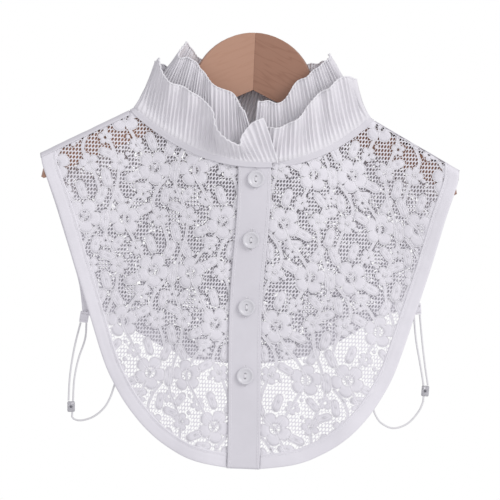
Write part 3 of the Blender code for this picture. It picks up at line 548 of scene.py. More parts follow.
for side, strap in STRAPS.items():
    slider, shaded_slot = slider_piece(side, strap)
    through = strap["front"] + strap["back"]
    long_piece, run, length = elastic_curve(f"elastic_{side}", through, 60)
    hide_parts(f"strap_{side}_front", f"strap_{side}_back")
    loose_end, end_run, end_length = elastic_curve(f"elastic_{side}_end", strap["end"], 26)
    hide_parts(f"strap_{side}_end")
    print(side, "elastic:", round(length / MM), "mm, its end:", round(end_length / MM), "mm")

# %% [markdown]
# How the cloth hangs
#
# The fronts and the back are drawn flat, as a pattern, with u across and w up. One rule lays any
# point of the pattern over the hanger: over the rounded top of the arms, then straight down with a
# few soft folds. Lace, strips and stitches are all drawn flat and laid with the same rule, so they
# stay on each other.

# %% The rule that lays the pattern over the hanger
NECK_HALF = 95.0
NECK_TOP_Z = -67.0
SHOULDER_SLOPE = 0.54
SHOULDER_HALF = 171.0
NECK_CURVE = 2.15
ARM_YAW = math.radians(8.0)
ARM_SOFT = 12.0
TOP_FLAT = 3.5
TOP_ROUND = 4.0
TOP_REACH = TOP_FLAT + TOP_ROUND
TOP_LENGTH = TOP_FLAT + TOP_ROUND * math.pi / 2
HANG_START = 28.0
HANG_LENGTH = 110.0
SWAY = 8.5
SWAY_LENGTH = 140.0
PULL_HALF = 95.0
HANG_HALF = 150.0
SKEW_LENGTH = 139.0
EDGE_SOFT = 24.0
FRONT = {
    "sign": -1.0, "bow": 22.0, "hang": -19.0, "hang_bow": -3.0, "neck_drop": 39.5,
    "folds": ((1.7, 117.0, 0.6), (0.9, 58.0, 2.1)), "skew": 0.0, "pull": 5.5,
}
BACK = {
    "sign": 1.0, "bow": 9.0, "hang": -5.5, "hang_bow": 2.5, "neck_drop": 19.0,
    "folds": ((1.5, 131.0, 2.6), (0.8, 66.0, 0.9)), "skew": 0.065, "pull": 0.0,
}


def ease(value):
    value = np.clip(value, 0.0, 1.0)
    return value * value * (3.0 - 2.0 * value)


def shoulder_z(u):
    return NECK_TOP_Z - (np.abs(u) - NECK_HALF) * SHOULDER_SLOPE


def neck_z(side, u):
    return NECK_TOP_Z - side["neck_drop"] * (1.0 - np.abs(u / NECK_HALF) ** NECK_CURVE)


def soft_edge_z(side, u):
    total = 0.0
    for part in (-1.0, -0.5, 0.0, 0.5, 1.0):
        place = u + EDGE_SOFT * part
        total = total + np.where(np.abs(place) < NECK_HALF, neck_z(side, place), shoulder_z(place))
    return total / 5.0


def cloth(side, u, w):
    """Places of pattern points on the middle of the cloth, in millimetres."""
    u = np.asarray(u, dtype=float)
    w = np.asarray(w, dtype=float)
    below = shoulder_z(u) - w
    along = below - TOP_ROUND + TOP_LENGTH
    turn = np.clip((along - TOP_FLAT) / TOP_ROUND, 0.0, math.pi / 2)
    over = below < TOP_ROUND
    reach = np.where(over, np.minimum(along, TOP_FLAT) + TOP_ROUND * np.sin(turn), TOP_REACH)
    drop = np.where(over, TOP_ROUND * (1.0 - np.cos(turn)), below)
    sign = side["sign"]
    arm = -math.tan(ARM_YAW) * np.hypot(u, ARM_SOFT)
    near_neck = np.maximum(0.0, 1.0 - (u / NECK_HALF) ** 2) ** 1.5
    over_arm = arm + sign * (reach + side["bow"] * near_neck)
    hanging = side["hang"] + side["hang_bow"] * (1.0 - (u / HANG_HALF) ** 2)
    z = shoulder_z(u) - drop
    loose = ease((soft_edge_z(side, u) - z - HANG_START) / HANG_LENGTH)
    for height, width, phase in side["folds"]:
        hanging = hanging + height * np.sin(2.0 * math.pi * u / width + phase)
    y = over_arm + (hanging - over_arm) * loose
    pulled = ease((drop - 100.0) / 110.0) * (1.0 - 0.45 * ease((drop - 215.0) / 110.0))
    near_middle = np.maximum(0.0, 1.0 - (u / PULL_HALF) ** 2) ** 2
    x = u + SWAY * (1.0 - np.exp(-drop / SWAY_LENGTH)) - side["pull"] * pulled * near_middle
    z = z + side["skew"] * u * np.minimum(1.0, drop / SKEW_LENGTH)
    return np.stack([x, y, z], axis=-1)


def out_of(side, u, w):
    """The way out of the cloth, away from the body."""
    step = 0.4
    across = cloth(side, u + step, w) - cloth(side, u - step, w)
    up = cloth(side, u, w + step) - cloth(side, u, w - step)
    way = np.cross(across, up) * -side["sign"]
    return way / np.linalg.norm(way, axis=-1, keepdims=True)


def laid(side, u, w, lift=0.0):
    """Pattern points laid over the hanger, moved out by lift, in metres."""
    u = np.asarray(u, dtype=float)
    w = np.asarray(w, dtype=float)
    lift = np.broadcast_to(np.asarray(lift, dtype=float), u.shape)
    return (cloth(side, u, w) + out_of(side, u, w) * lift[..., None]) * MM


def seam_w(u, distance):
    """Pattern height of a point this far below the shoulder seam, along the cloth."""
    return shoulder_z(u) - TOP_ROUND + TOP_LENGTH - distance


# %% [markdown]
# The pattern's edges
#
# The outline of each panel is a short table of points, half of it, because the pattern is the same
# left and right. Moving a run sideways gives the inner edge of the strip that binds it.

# %% Outlines
BAND_WIDTH = 12.0
BINDING_HEIGHT = 5.0
PLACKET_HALF = 13.5
PLACKET_LIFT = 1.8
FRONT_EDGE = (
    (171.0, -108.0), (169.3, -119.0), (160.3, -145.0), (154.3, -165.0), (148.5, -185.0),
    (142.6, -204.0), (134.0, -231.0), (121.0, -271.0), (112.0, -291.0), (99.5, -311.0),
    (83.0, -329.5), (64.0, -343.5), (40.0, -354.0), (0.0, -360.0),
)
BACK_ARMHOLE = (
    (171.0, -108.0), (169.5, -119.0), (160.5, -145.0), (154.0, -165.0), (147.5, -185.0),
    (141.2, -206.0), (138.0, -229.0),
)
BACK_HEM = (
    (138.0, -229.0), (107.0, -237.0), (89.0, -247.0), (71.0, -257.5), (45.0, -268.0), (0.0, -274.0),
)


def moved_in(run, distance):
    """A run of pattern points moved to its right-hand side, with mitred corners."""
    run = np.asarray(run, dtype=float)
    step = np.diff(run, axis=0)
    step /= np.linalg.norm(step, axis=1)[:, None]
    right = np.stack([step[:, 1], -step[:, 0]], axis=1)
    both = np.concatenate([right[:1], right[:-1] + right[1:], right[-1:]])
    both[1:-1] /= 2.0
    return run + both * (distance / (both ** 2).sum(axis=1))[:, None]


def mirrored(run):
    return np.asarray(run)[::-1] * np.array([-1.0, 1.0])


def from_seam_first(run, distance):
    """The run with its first point put this far below the shoulder seam."""
    run = np.array(run, dtype=float)
    run[0][1] = seam_w(run[0][0], distance)
    return run


front_edge = from_seam_first(smooth_run(FRONT_EDGE, 6), 0.3)
front_inner = from_seam_first(moved_in(front_edge, BAND_WIDTH), 0.3)
armhole = smooth_run(BACK_ARMHOLE, 6)
back_half = from_seam_first(np.concatenate([armhole, smooth_run(BACK_HEM, 6)[1:]]), 0.3)
back_edge = np.concatenate([back_half, mirrored(back_half)[1:]])
back_inner = moved_in(back_edge, BAND_WIDTH)
back_inner[0][1] = seam_w(back_inner[0][0], 0.3)
back_inner[-1][1] = back_inner[0][1]


def neck_run(side, distance=0.0, steps=36):
    """The right half of the neck seam from the centre to the shoulder seam, or a run below it."""
    u = NECK_HALF * np.sin(np.linspace(0.0, math.pi / 2, steps))[:-1]
    z = neck_z(side, u)
    drop = shoulder_z(u) - z
    bend = np.arccos(np.clip(1.0 - drop / TOP_ROUND, -1.0, 1.0))
    w = np.where(drop < TOP_ROUND, seam_w(u, TOP_FLAT + TOP_ROUND * bend), z)
    run = np.stack([u, w], axis=1)
    past = NECK_HALF + distance * math.cos(math.atan(SHOULDER_SLOPE))
    if distance:
        run = moved_in(run, distance)
        run = run[:-1]
        run[0][0] = 0.0
    ends = np.array([[past, seam_w(past, TOP_FLAT)], [past, seam_w(past, 0.3)]])
    return np.concatenate([run, ends])


print("front edge:", round(run_length(front_edge)), "mm a side, back edge:",
      round(run_length(back_edge)), "mm round")

# %% [markdown]
# Flowers, leaves and stems of the lace
#
# Machine lace is a fine net with closer clothwork in the shape of flowers and a thicker cord round
# each shape. A flower here has five round petals with a raised outline and a ring of small holes in
# its middle. Each shape is modelled once, flat, and Geometry Nodes puts copies on the points of a
# small chart, turned and sized by each point.

# %% Lace motifs, drawn once


def ring_cord(radius_at, lift, thick, count, sides=4):
    """A closed cord round the origin; radius_at gives its radius at each angle."""
    turns = np.linspace(0.0, 2 * math.pi, count, endpoint=False)
    radius = radius_at(turns)
    middle = np.stack([radius * np.cos(turns), radius * np.sin(turns), np.full(count, lift)], axis=1)
    ahead = np.roll(middle, -1, axis=0) - np.roll(middle, 1, axis=0)
    ahead /= np.linalg.norm(ahead, axis=1)[:, None]
    side = np.stack([ahead[:, 1], -ahead[:, 0], np.zeros(count)], axis=1)
    corners = np.arange(sides) * 2 * math.pi / sides
    ring = (side[:, None, :] * np.cos(corners)[None, :, None]
            + np.array([0.0, 0.0, 1.0])[None, None, :] * np.sin(corners)[None, :, None]) * thick
    verts = (middle[:, None, :] + ring).reshape(-1, 3)
    faces = []
    for index in range(count):
        after = (index + 1) % count
        for k in range(sides):
            following = (k + 1) % sides
            faces.append((index * sides + k, after * sides + k, after * sides + following,
                          index * sides + following))
    return verts, faces


def petal_radius(turns, petals, reach, waist):
    """Radius of a flower's outline: round petals that meet at a narrower waist."""
    local = (turns * petals / (2 * math.pi)) % 1.0 - 0.5
    return reach * (waist + (1.0 - waist) * np.sqrt(np.maximum(0.0, np.cos(math.pi * local))))


def clothwork(inner, radius_at, swell, around, rings, petals):
    """A closed, slightly pillowed patch between a round hole and an outline."""
    turns = np.linspace(0.0, 2 * math.pi, around, endpoint=False)
    local = (turns * petals / (2 * math.pi)) % 1.0 - 0.5
    shares = np.linspace(0.0, 1.0, rings + 1)
    radius = inner + (radius_at(turns)[None, :] - inner) * shares[:, None]
    crease = 0.35 + 0.65 * np.sqrt(np.maximum(0.0, np.cos(math.pi * local)))
    height = 0.24 + swell * np.sin(math.pi * shares)[:, None] ** 0.6 * crease[None, :]
    top = np.stack([radius * np.cos(turns), radius * np.sin(turns), height], axis=2)
    low = top[[0, rings]].copy()
    low[:, :, 2] = -0.2
    rows = np.concatenate([low[:1], top, low[1:]])
    verts = rows.reshape(-1, 3)
    faces = []
    count = len(rows)
    for row in range(count):
        after_row = (row + 1) % count
        for k in range(around):
            after = (k + 1) % around
            faces.append((row * around + k, row * around + after,
                          after_row * around + after, after_row * around + k))
    return verts, faces


def flower(reach, petals, waist, hole, spokes, around):
    """A flower as (patch parts, cord parts)."""
    def outline(turns):
        return petal_radius(turns, petals, reach, waist)

    patch = [clothwork(hole, outline, 0.22, around, 3, petals)]
    cords = [ring_cord(outline, 0.30, 0.36, around), ring_cord(lambda t: 0 * t + hole, 0.3, 0.34, 20)]
    for index in range(petals):
        turn = 2 * math.pi * (index + 1.0) / petals
        start = hole * 1.05
        end = reach * waist * 0.98
        line = [(r * math.cos(turn), r * math.sin(turn), 0.35) for r in np.linspace(start, end, 4)]
        cords.append(tube(line, 0.26, 4))
    if spokes:
        hub = hole * 0.42
        patch.append(clothwork(0.25, lambda t: 0 * t + hub, 0.25, 12, 1, 1))
        for index in range(spokes):
            turn = 2 * math.pi * index / spokes
            line = [(r * math.cos(turn), r * math.sin(turn), 0.05) for r in (hub * 0.9, hole)]
            patch.append(tube(line, 0.30, 4))
    return patch, cords


def leaf(length, width):
    """A pointed leaf with a raised edge and a middle vein."""
    def outline(turns):
        along = np.cos(turns)
        return length / 2 * (width / length + (1.0 - width / length) * np.abs(along) ** 3.0)

    patch = [clothwork(0.15, outline, 0.15, 20, 2, 2)]
    cords = [ring_cord(outline, 0.26, 0.34, 20),
             tube([(x, 0.0, 0.42 - abs(x) * 0.02) for x in np.linspace(-0.42, 0.42, 5) * length],
                  0.24, 4)]
    return patch, cords


def dot(radius):
    return [clothwork(0.1, lambda t: 0 * t + radius, 0.2, 12, 1, 1)], []


def stock(name, parts):
    """A flat mesh, in millimetres, kept out of the scene for the nodes to copy."""
    points, faces = add_parts(parts)
    mesh = turned_out(mesh_of(name, points, faces))
    return bpy.data.objects.new(name, mesh)


MOTIFS = {}
for name, shape in (("bloom", flower(14.0, 5, 0.60, 4.3, 9, 50)),
                    ("small_bloom", flower(7.6, 5, 0.58, 1.9, 0, 30)),
                    ("leaf", leaf(15.0, 6.4)), ("dot", dot(1.9))):
    MOTIFS[name] = {"patch": stock(f"{name}_patch", shape[0])}
    if shape[1]:
        MOTIFS[name]["cord"] = stock(f"{name}_cord", shape[1])
print("motifs:", {k: len(v["patch"].data.polygons) for k, v in MOTIFS.items()})

# %% [markdown]
# The chart of the lace
#
# A flower trail repeats every 56 mm across and 84 mm up, as on a roll of galloon lace. Each row below
# is one motif: its name, its place in the repeat, its size and its turn. The stems join the flowers
# as long curves. The right front is the left one mirrored, as the cutter lays it.

# %% Chart of the repeat
REPEAT_ACROSS = 56.0
REPEAT_UP = 84.0
CHART = (
    ("bloom", 15.0, 17.0, 1.00, 10.0), ("bloom", 39.0, 58.0, 0.94, 46.0),
    ("small_bloom", 43.0, 20.0, 1.00, 0.0), ("small_bloom", 11.0, 61.0, 1.05, 30.0),
    ("small_bloom", 29.0, 35.0, 0.80, 15.0), ("small_bloom", 54.0, 40.0, 0.75, 50.0),
    ("small_bloom", 24.0, 79.0, 0.72, 5.0),
    ("leaf", 31.5, 9.0, 1.05, -25.0), ("leaf", 1.5, 34.5, 1.10, 115.0),
    ("leaf", 17.0, 38.5, 1.05, 70.0), ("leaf", 53.0, 7.0, 1.10, 75.0),
    ("leaf", 23.0, 66.5, 1.05, 150.0), ("leaf", 44.0, 77.0, 1.05, 60.0),
    ("leaf", 6.0, 78.0, 1.00, 100.0), ("leaf", 52.5, 27.5, 1.00, 20.0),
    ("leaf", 54.5, 56.5, 1.15, 95.0), ("leaf", 44.5, 38.0, 0.95, -50.0),
    ("leaf", 24.0, 1.0, 0.95, 0.0),
    ("dot", 36.5, 27.5, 1.0, 0.0), ("dot", 19.0, 57.0, 1.0, 0.0), ("dot", 38.0, 73.5, 0.9, 0.0),
    ("dot", 13.0, 0.5, 1.0, 0.0), ("dot", 36.0, 41.5, 0.9, 0.0), ("dot", 0.5, 19.0, 1.0, 0.0),
)
STEMS = (
    ((15.0, 17.0), (24.0, 29.0), (32.0, 43.0), (39.0, 58.0), (33.0, 72.0), (22.0, 86.0), (15.0, 101.0)),
    ((43.0, 20.0), (49.0, 34.0), (54.0, 48.0), (51.0, 66.0), (45.0, 84.0), (43.0, 104.0)),
    ((11.0, 61.0), (6.0, 50.0), (3.0, 38.0), (6.0, 27.0), (15.0, 17.0)),
    ((11.0, 61.0), (16.0, 72.0), (12.0, 84.0), (4.0, 94.0)),
)


def chart_points(low, high, shift, flip):
    """All motifs of the repeat inside a rectangle: name to rows of u, w, turn, size."""
    found = {name: [] for name in MOTIFS}
    across = range(math.floor((low[0] - shift[0]) / REPEAT_ACROSS) - 1,
                   math.ceil((high[0] - shift[0]) / REPEAT_ACROSS) + 1)
    for column in across:
        drop = REPEAT_UP / 2 * (column % 2)
        rows = range(math.floor((low[1] - shift[1] - drop) / REPEAT_UP) - 1,
                     math.ceil((high[1] - shift[1] - drop) / REPEAT_UP) + 1)
        for row in rows:
            for name, x, y, size, turn in CHART:
                u = shift[0] + column * REPEAT_ACROSS + x
                w = shift[1] + drop + row * REPEAT_UP + y
                angle = math.radians(turn)
                if flip:
                    u, angle = -u, math.pi - angle
                found[name].append((u, w, angle, size))
    return found


def stem_runs(low, high, shift, flip):
    runs = []
    across = range(math.floor((low[0] - shift[0]) / REPEAT_ACROSS) - 1,
                   math.ceil((high[0] - shift[0]) / REPEAT_ACROSS) + 1)
    for column in across:
        drop = REPEAT_UP / 2 * (column % 2)
        rows = range(math.floor((low[1] - shift[1] - drop) / REPEAT_UP) - 1,
                     math.ceil((high[1] - shift[1] - drop) / REPEAT_UP) + 1)
        for row in rows:
            corner = np.array([shift[0] + column * REPEAT_ACROSS, shift[1] + drop + row * REPEAT_UP])
            for stem in STEMS:
                run = smooth_run(np.array(stem) + corner, 4)
                if flip:
                    run = run * np.array([-1.0, 1.0])
                runs.append(run)
    return runs


# %% [markdown]
# Two node trees for the lace
#
# The first copies a motif onto chart points, with each point's own turn and size. The second makes
# the net: it draws a slanted grid of points, keeps those on the panel that no motif covers, and puts
# a six-sided cell with a hole on each. The cells share their corners, so they join into one net.

# %% Geometry Nodes: motifs on a chart, and the net


def new_tree(name, inputs):
    """A geometry tree with named inputs; gives the tree and its two end nodes."""
    tree = bpy.data.node_groups.new(name, "GeometryNodeTree")
    tree.interface.new_socket("Geometry", in_out="INPUT", socket_type="NodeSocketGeometry")
    for label, kind, value in inputs:
        socket = tree.interface.new_socket(label, in_out="INPUT", socket_type=kind)
        if value is not None:
            socket.default_value = value
    tree.interface.new_socket("Geometry", in_out="OUTPUT", socket_type="NodeSocketGeometry")
    return tree, tree.nodes.new("NodeGroupInput"), tree.nodes.new("NodeGroupOutput")


def ends_with(tree, geometry, given, out):
    """Closes a tree: real copies, then the material."""
    real = add_node(tree, "GeometryNodeRealizeInstances", links={"Geometry": geometry})
    merged = add_node(tree, "GeometryNodeMergeByDistance", values={"Distance": 1e-5},
                      links={"Geometry": real.outputs["Geometry"]})
    covered = add_node(tree, "GeometryNodeSetMaterial", links={
        "Geometry": merged.outputs["Geometry"], "Material": given.outputs["Material"]})
    tree.links.new(covered.outputs["Geometry"], out.inputs["Geometry"])


def result_of(name, start, tree, values):
    """Runs a tree on a mesh and gives the plain mesh that comes out."""
    carrier = bpy.data.objects.new(f"{name}_carrier", start)
    scene.collection.objects.link(carrier)
    modifier = carrier.modifiers.new(name, "NODES")
    modifier.node_group = tree
    for item in tree.interface.items_tree:
        if item.item_type == "SOCKET" and item.in_out == "INPUT" and item.name in values:
            modifier[item.identifier] = values[item.name]
    carrier.update_tag()
    seen = carrier.evaluated_get(bpy.context.evaluated_depsgraph_get())
    mesh = bpy.data.meshes.new_from_object(seen)
    mesh.name = name
    bpy.data.objects.remove(carrier, do_unlink=True)
    return mesh


def chart_tree():
    tree, given, out = new_tree("motifs_on_chart", [
        ("Motif", "NodeSocketObject", None), ("Material", "NodeSocketMaterial", None)])
    turn = add_node(tree, "GeometryNodeInputNamedAttribute", {"data_type": "FLOAT"},
                    values={"Name": "turn"})
    size = add_node(tree, "GeometryNodeInputNamedAttribute", {"data_type": "FLOAT"},
                    values={"Name": "size"})
    spin = add_node(tree, "ShaderNodeCombineXYZ", links={"Z": turn.outputs["Attribute"]})
    motif = add_node(tree, "GeometryNodeObjectInfo", links={"Object": given.outputs["Motif"]})
    placed = add_node(tree, "GeometryNodeInstanceOnPoints", links={
        "Points": given.outputs["Geometry"], "Instance": motif.outputs["Geometry"],
        "Rotation": spin.outputs["Vector"], "Scale": size.outputs["Attribute"]})
    ends_with(tree, placed.outputs["Instances"], given, out)
    return tree


def net_tree():
    tree, given, out = new_tree("hexagonal_net", [
        ("Cell", "NodeSocketObject", None), ("Motifs", "NodeSocketObject", None),
        ("Across", "NodeSocketFloat", 3.3), ("Up", "NodeSocketFloat", 3.0),
        ("Slant", "NodeSocketFloat", 0.2), ("Margin", "NodeSocketFloat", 0.5),
        ("Material", "NodeSocketMaterial", None)])
    grid = add_node(tree, "GeometryNodeMeshGrid", values={"Vertices X": 200, "Vertices Y": 140})
    for label, socket, steps in (("Size X", "Across", 199.0), ("Size Y", "Up", 139.0)):
        size = math_node(tree, "MULTIPLY", given.outputs[socket], steps)
        tree.links.new(size, grid.inputs[label])
    place = tree.nodes.new("GeometryNodeInputPosition")
    apart = add_node(tree, "ShaderNodeSeparateXYZ", links={0: place.outputs["Position"]})
    row = math_node(tree, "ROUND", math_node(tree, "ADD", math_node(
        tree, "DIVIDE", apart.outputs["Y"], given.outputs["Up"]), 0.5))
    odd = math_node(tree, "FLOORED_MODULO", row, 2.0)
    half_step = math_node(tree, "MULTIPLY", odd, math_node(
        tree, "MULTIPLY", given.outputs["Across"], 0.5))
    lean = math_node(tree, "MULTIPLY", apart.outputs["Y"], given.outputs["Slant"])
    shift = add_node(tree, "ShaderNodeCombineXYZ", links={
        "X": math_node(tree, "ADD", half_step, lean)})
    moved = add_node(tree, "GeometryNodeSetPosition", links={
        "Geometry": grid.outputs["Mesh"], "Offset": shift.outputs["Vector"]})
    centred = add_node(tree, "GeometryNodeTransform", values={"Translation": (0.0, -210.0, 0.0)},
                       links={"Geometry": moved.outputs["Geometry"]})
    on_panel = add_node(tree, "GeometryNodeProximity", {"target_element": "FACES"},
                        links={0: given.outputs["Geometry"]})
    off_panel = math_node(tree, "GREATER_THAN", on_panel.outputs["Distance"], 0.05)
    motifs = add_node(tree, "GeometryNodeObjectInfo", links={"Object": given.outputs["Motifs"]})
    to_motif = add_node(tree, "GeometryNodeProximity", {"target_element": "FACES"},
                        links={0: motifs.outputs["Geometry"]})
    covered = math_node(tree, "LESS_THAN", to_motif.outputs["Distance"], given.outputs["Margin"])
    gone = math_node(tree, "MAXIMUM", off_panel, covered)
    kept = add_node(tree, "GeometryNodeDeleteGeometry", {"domain": "POINT"}, links={
        "Geometry": centred.outputs["Geometry"], "Selection": gone})
    cell = add_node(tree, "GeometryNodeObjectInfo", links={"Object": given.outputs["Cell"]})
    placed = add_node(tree, "GeometryNodeInstanceOnPoints", links={
        "Points": kept.outputs["Geometry"], "Instance": cell.outputs["Geometry"]})
    ends_with(tree, placed.outputs["Instances"], given, out)
    return tree


CHART_TREE = chart_tree()
NET_TREE = net_tree()

# %% [markdown]
# The lace panels
#
# Each panel is worked flat: motifs from the chart, stems, then the net in what is left. Faces beyond
# the panel's edge are dropped, and the rest is laid over the hanger with the rule above. The edge of
# the lace runs a little under the strips that bind it, as when it is sewn.

# %% Lace panels
CELL_ACROSS = 2.6
CELL_UP = 3.2
CELL_SLANT = 0.38
THREAD_THICK = 0.2


def net_cell(name, hole):
    """One six-sided cell of the net; hole is the share of it that stays open."""
    half = CELL_ACROSS / 2
    tall = CELL_UP * 2 / 3
    corners = np.array([(0.0, tall), (half, tall / 2), (half, -tall / 2), (0.0, -tall),
                        (-half, -tall / 2), (-half, tall / 2)])
    corners[:, 0] += corners[:, 1] * CELL_SLANT
    rows = []
    for share, height in ((1.0, -THREAD_THICK), (1.0, THREAD_THICK), (hole, THREAD_THICK),
                          (hole, -THREAD_THICK)):
        rows.append(np.column_stack([corners * share, np.full(6, height)]))
    points = np.concatenate(rows)
    faces = []
    for row, after in ((1, 2), (2, 3), (3, 0)):
        for k in range(6):
            following = (k + 1) % 6
            faces.append((row * 6 + k, after * 6 + k, after * 6 + following, row * 6 + following))
    return bpy.data.objects.new(name, mesh_of(name, points, faces))


OPEN_CELL = net_cell("open_cell", 0.68)
CLOSE_CELL = net_cell("close_cell", 0.34)


def inside(outline, points):
    """Which points lie in a closed outline."""
    x, y = points[:, 0], points[:, 1]
    found = np.zeros(len(points), dtype=bool)
    for (ax, ay), (bx, by) in zip(outline, np.roll(outline, -1, axis=0)):
        crosses = (ay > y) != (by > y)
        with np.errstate(divide="ignore", invalid="ignore"):
            at = (bx - ax) * (y - ay) / (by - ay) + ax
        found ^= crosses & (x < at)
    return found


def flat_arrays(mesh):
    points = np.empty(len(mesh.vertices) * 3)
    mesh.vertices.foreach_get("co", points)
    return points.reshape(-1, 3), [tuple(face.vertices) for face in mesh.polygons]


def trimmed(points, faces, outline):
    """Only the faces whose middle lies in the outline, with the points that they use."""
    middles = np.array([points[list(face)].mean(axis=0)[:2] for face in faces])
    keep = inside(outline, middles)
    faces = [face for face, kept in zip(faces, keep) if kept]
    used = sorted({k for face in faces for k in face})
    place = {old: new for new, old in enumerate(used)}
    return points[used], [tuple(place[k] for k in face) for face in faces]


def with_rims(points, faces):
    """The net with walls round its open rims, from its upper side to its lower one."""
    edges = {edge for face in faces for edge in zip(face, face[1:] + face[:1])}
    keys = np.round(points[:, :2], 3)
    low = {tuple(key): k for k, key in enumerate(keys) if points[k][2] < 0.0}
    walls = []
    for a, b in edges:
        if (b, a) not in edges and points[a][2] > 0.0 and points[b][2] > 0.0:
            walls.append((b, a, low[tuple(keys[a])], low[tuple(keys[b])]))
    return points, faces + walls


def laid_mesh(name, side, points, faces, base=0.0):
    """A flat mesh, height in its third number, laid over the hanger and facing outwards."""
    if side is BACK:
        faces = [face[::-1] for face in faces]
    return mesh_of(name, laid(side, points[:, 0], points[:, 1], points[:, 2] + base), faces)


def flat_band(left, right):
    """A closed flat band between two runs."""
    rows = [np.column_stack([run, np.full(len(run), height)])
            for run, height in ((left, -0.2), (left, 0.24), (right, 0.24), (right, -0.2))]
    points = np.stack(rows, axis=1).reshape(-1, 3)
    faces = grid_faces(len(left), 4, closed=True)
    last = (len(left) - 1) * 4
    return points, faces + [(0, 1, 2, 3), (last + 3, last + 2, last + 1, last)]


def lace_panel(name, side, outline, shift, flip, cell):
    """The lace of one panel: gives its net, its clothwork and its outline cords."""
    low, high = outline.min(axis=0), outline.max(axis=0)
    if flip:
        low, high = np.array([-high[0], low[1]]), np.array([-low[0], high[1]])
    charted = chart_points(low, high, shift, flip)
    patches = []
    cords = []
    for motif, rows in charted.items():
        if motif == "leaf":
            rows = [row for row in rows if abs(row[0]) < 82.0 or shoulder_z(row[0]) - row[1] > 24.0]
        rows = [row for row in rows if inside(outline, np.array([row[:2]]))[0]
                or inside(outline, np.array([[row[0] + a, row[1] + b] for a in (-11, 11)
                                             for b in (-11, 11)])).any()]
        if not rows:
            continue
        start = mesh_of("chart", [(u, w, 0.0) for u, w, _, _ in rows], [])
        for label, column in (("turn", 2), ("size", 3)):
            values = start.attributes.new(label, "FLOAT", "POINT")
            values.data.foreach_set("value", [row[column] for row in rows])
        for kind, found in (("patch", patches), ("cord", cords)):
            if kind in MOTIFS[motif]:
                mesh = result_of(f"{motif}_{kind}", start.copy(), CHART_TREE, {
                    "Motif": MOTIFS[motif][kind],
                    "Material": MOTIF_WHITE if kind == "patch" else CORD_WHITE})
                found.append(flat_arrays(mesh))
    for run in stem_runs(low, high, shift, flip):
        if not inside(outline, run).any():
            continue
        rims = [moved_in(run, aside) for aside in (-1.0, 1.0)]
        for line in rims:
            cords.append(tube(np.column_stack([line, np.full(len(line), 0.24)]), 0.34, 4))
        patches.append(flat_band(*rims))
    patch_points, patch_faces = add_parts(patches)
    cord_points, cord_faces = add_parts(cords)
    cover = bpy.data.objects.new("cover", mesh_of("cover", *add_parts(
        [(patch_points * np.array([1.0, 1.0, 0.0]), patch_faces)])))
    panel = bmesh.new()
    panel.faces.new([panel.verts.new((u, w, 0.0)) for u, w in outline])
    bmesh.ops.triangulate(panel, faces=panel.faces)
    panel_mesh = bpy.data.meshes.new("panel")
    panel.to_mesh(panel_mesh)
    panel.free()
    net = result_of("net", panel_mesh, NET_TREE, {
        "Cell": cell, "Motifs": cover, "Across": CELL_ACROSS, "Up": CELL_UP, "Slant": CELL_SLANT,
        "Margin": 0.35, "Material": LACE_WHITE})
    net_points, net_faces = with_rims(*flat_arrays(net))
    patch_points, patch_faces = trimmed(patch_points, patch_faces, outline)
    cord_points, cord_faces = trimmed(cord_points, cord_faces, outline)
    points, faces = add_parts([(net_points, net_faces), (patch_points, patch_faces)])
    lace = finished(f"{name}_lace", laid_mesh(name, side, points, faces), LACE_WHITE)
    lace.data.materials.append(MOTIF_WHITE)
    is_patch = np.arange(len(faces)) >= len(net_faces)
    lace.data.polygons.foreach_set("material_index", is_patch.astype(np.int32))
    lace.data.polygons.foreach_set("use_smooth", is_patch)
    cord_mesh = laid_mesh(f"{name}_cords", side, cord_points, cord_faces)
    cords = finished(f"{name}_cords", cord_mesh, CORD_WHITE)
    print(name, "net, clothwork, cords:", len(net_faces), len(patch_faces), len(cord_faces), "faces")
    return [lace, cords]


TUCK = 1.6
front_lace = from_seam_first(moved_in(front_edge, BAND_WIDTH - TUCK), 0.3)
front_top = neck_run(FRONT, BINDING_HEIGHT - TUCK)
front_top = front_top[front_top[:, 0] > PLACKET_HALF - TUCK]
hem_side = front_lace[front_lace[:, 0] > PLACKET_HALF - TUCK]
start_u = PLACKET_HALF - TUCK
front_outline = np.concatenate([
    [[start_u, front_top[0][1]]], front_top, hem_side, [[start_u, hem_side[-1][1]]]])
back_lace = moved_in(back_edge, BAND_WIDTH - TUCK)
back_lace[0][1] = back_lace[-1][1] = seam_w(back_lace[0][0], 0.3)
back_top = neck_run(BACK, BINDING_HEIGHT - TUCK)
back_outline = np.concatenate([mirrored(back_top)[:-1], back_top, back_lace])

panels = {
    "front_right": lace_panel("front_right", FRONT, front_outline, (10.0, -6.0), False, OPEN_CELL),
    "front_left": lace_panel("front_left", FRONT, mirrored(front_outline), (10.0, -6.0), True, OPEN_CELL),
    "back_panel": lace_panel("back_panel", BACK, back_outline, (-18.0, 24.0), False, CLOSE_CELL),
}
for name, pieces in panels.items():
    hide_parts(name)

# %% [markdown]
# Satin strips round the edges
#
# A strip 12 mm wide is folded over the raw edge of the lace and stitched down along its inner side.
# It is a flattened tube with a firm outer fold and a low ridge where the stitching pulls it in. The
# tube's section is a short list of (share of the width, height), swept along the edge.

# %% Strips
STRIP_SECTION = (
    (0.00, 0.0), (0.02, 0.60), (0.10, 0.90), (0.30, 0.80), (0.55, 0.72), (0.72, 0.80), (0.79, 0.50),
    (0.83, 0.50), (0.91, 1.15), (0.975, 0.95), (1.00, 0.10), (0.985, -0.55), (0.90, -0.70),
    (0.50, -0.65), (0.10, -0.72), (0.02, -0.50),
)


def puckers(count, amount, seed):
    """Small uneven waves along a stitched strip."""
    random = np.random.default_rng(seed)
    along = np.arange(count)
    waves = np.zeros(count)
    for length in (9.0, 14.0, 23.0, 41.0):
        waves += np.sin(along * 2 * math.pi / length + random.uniform(0, 6.28)) / 4.0
    return waves * amount


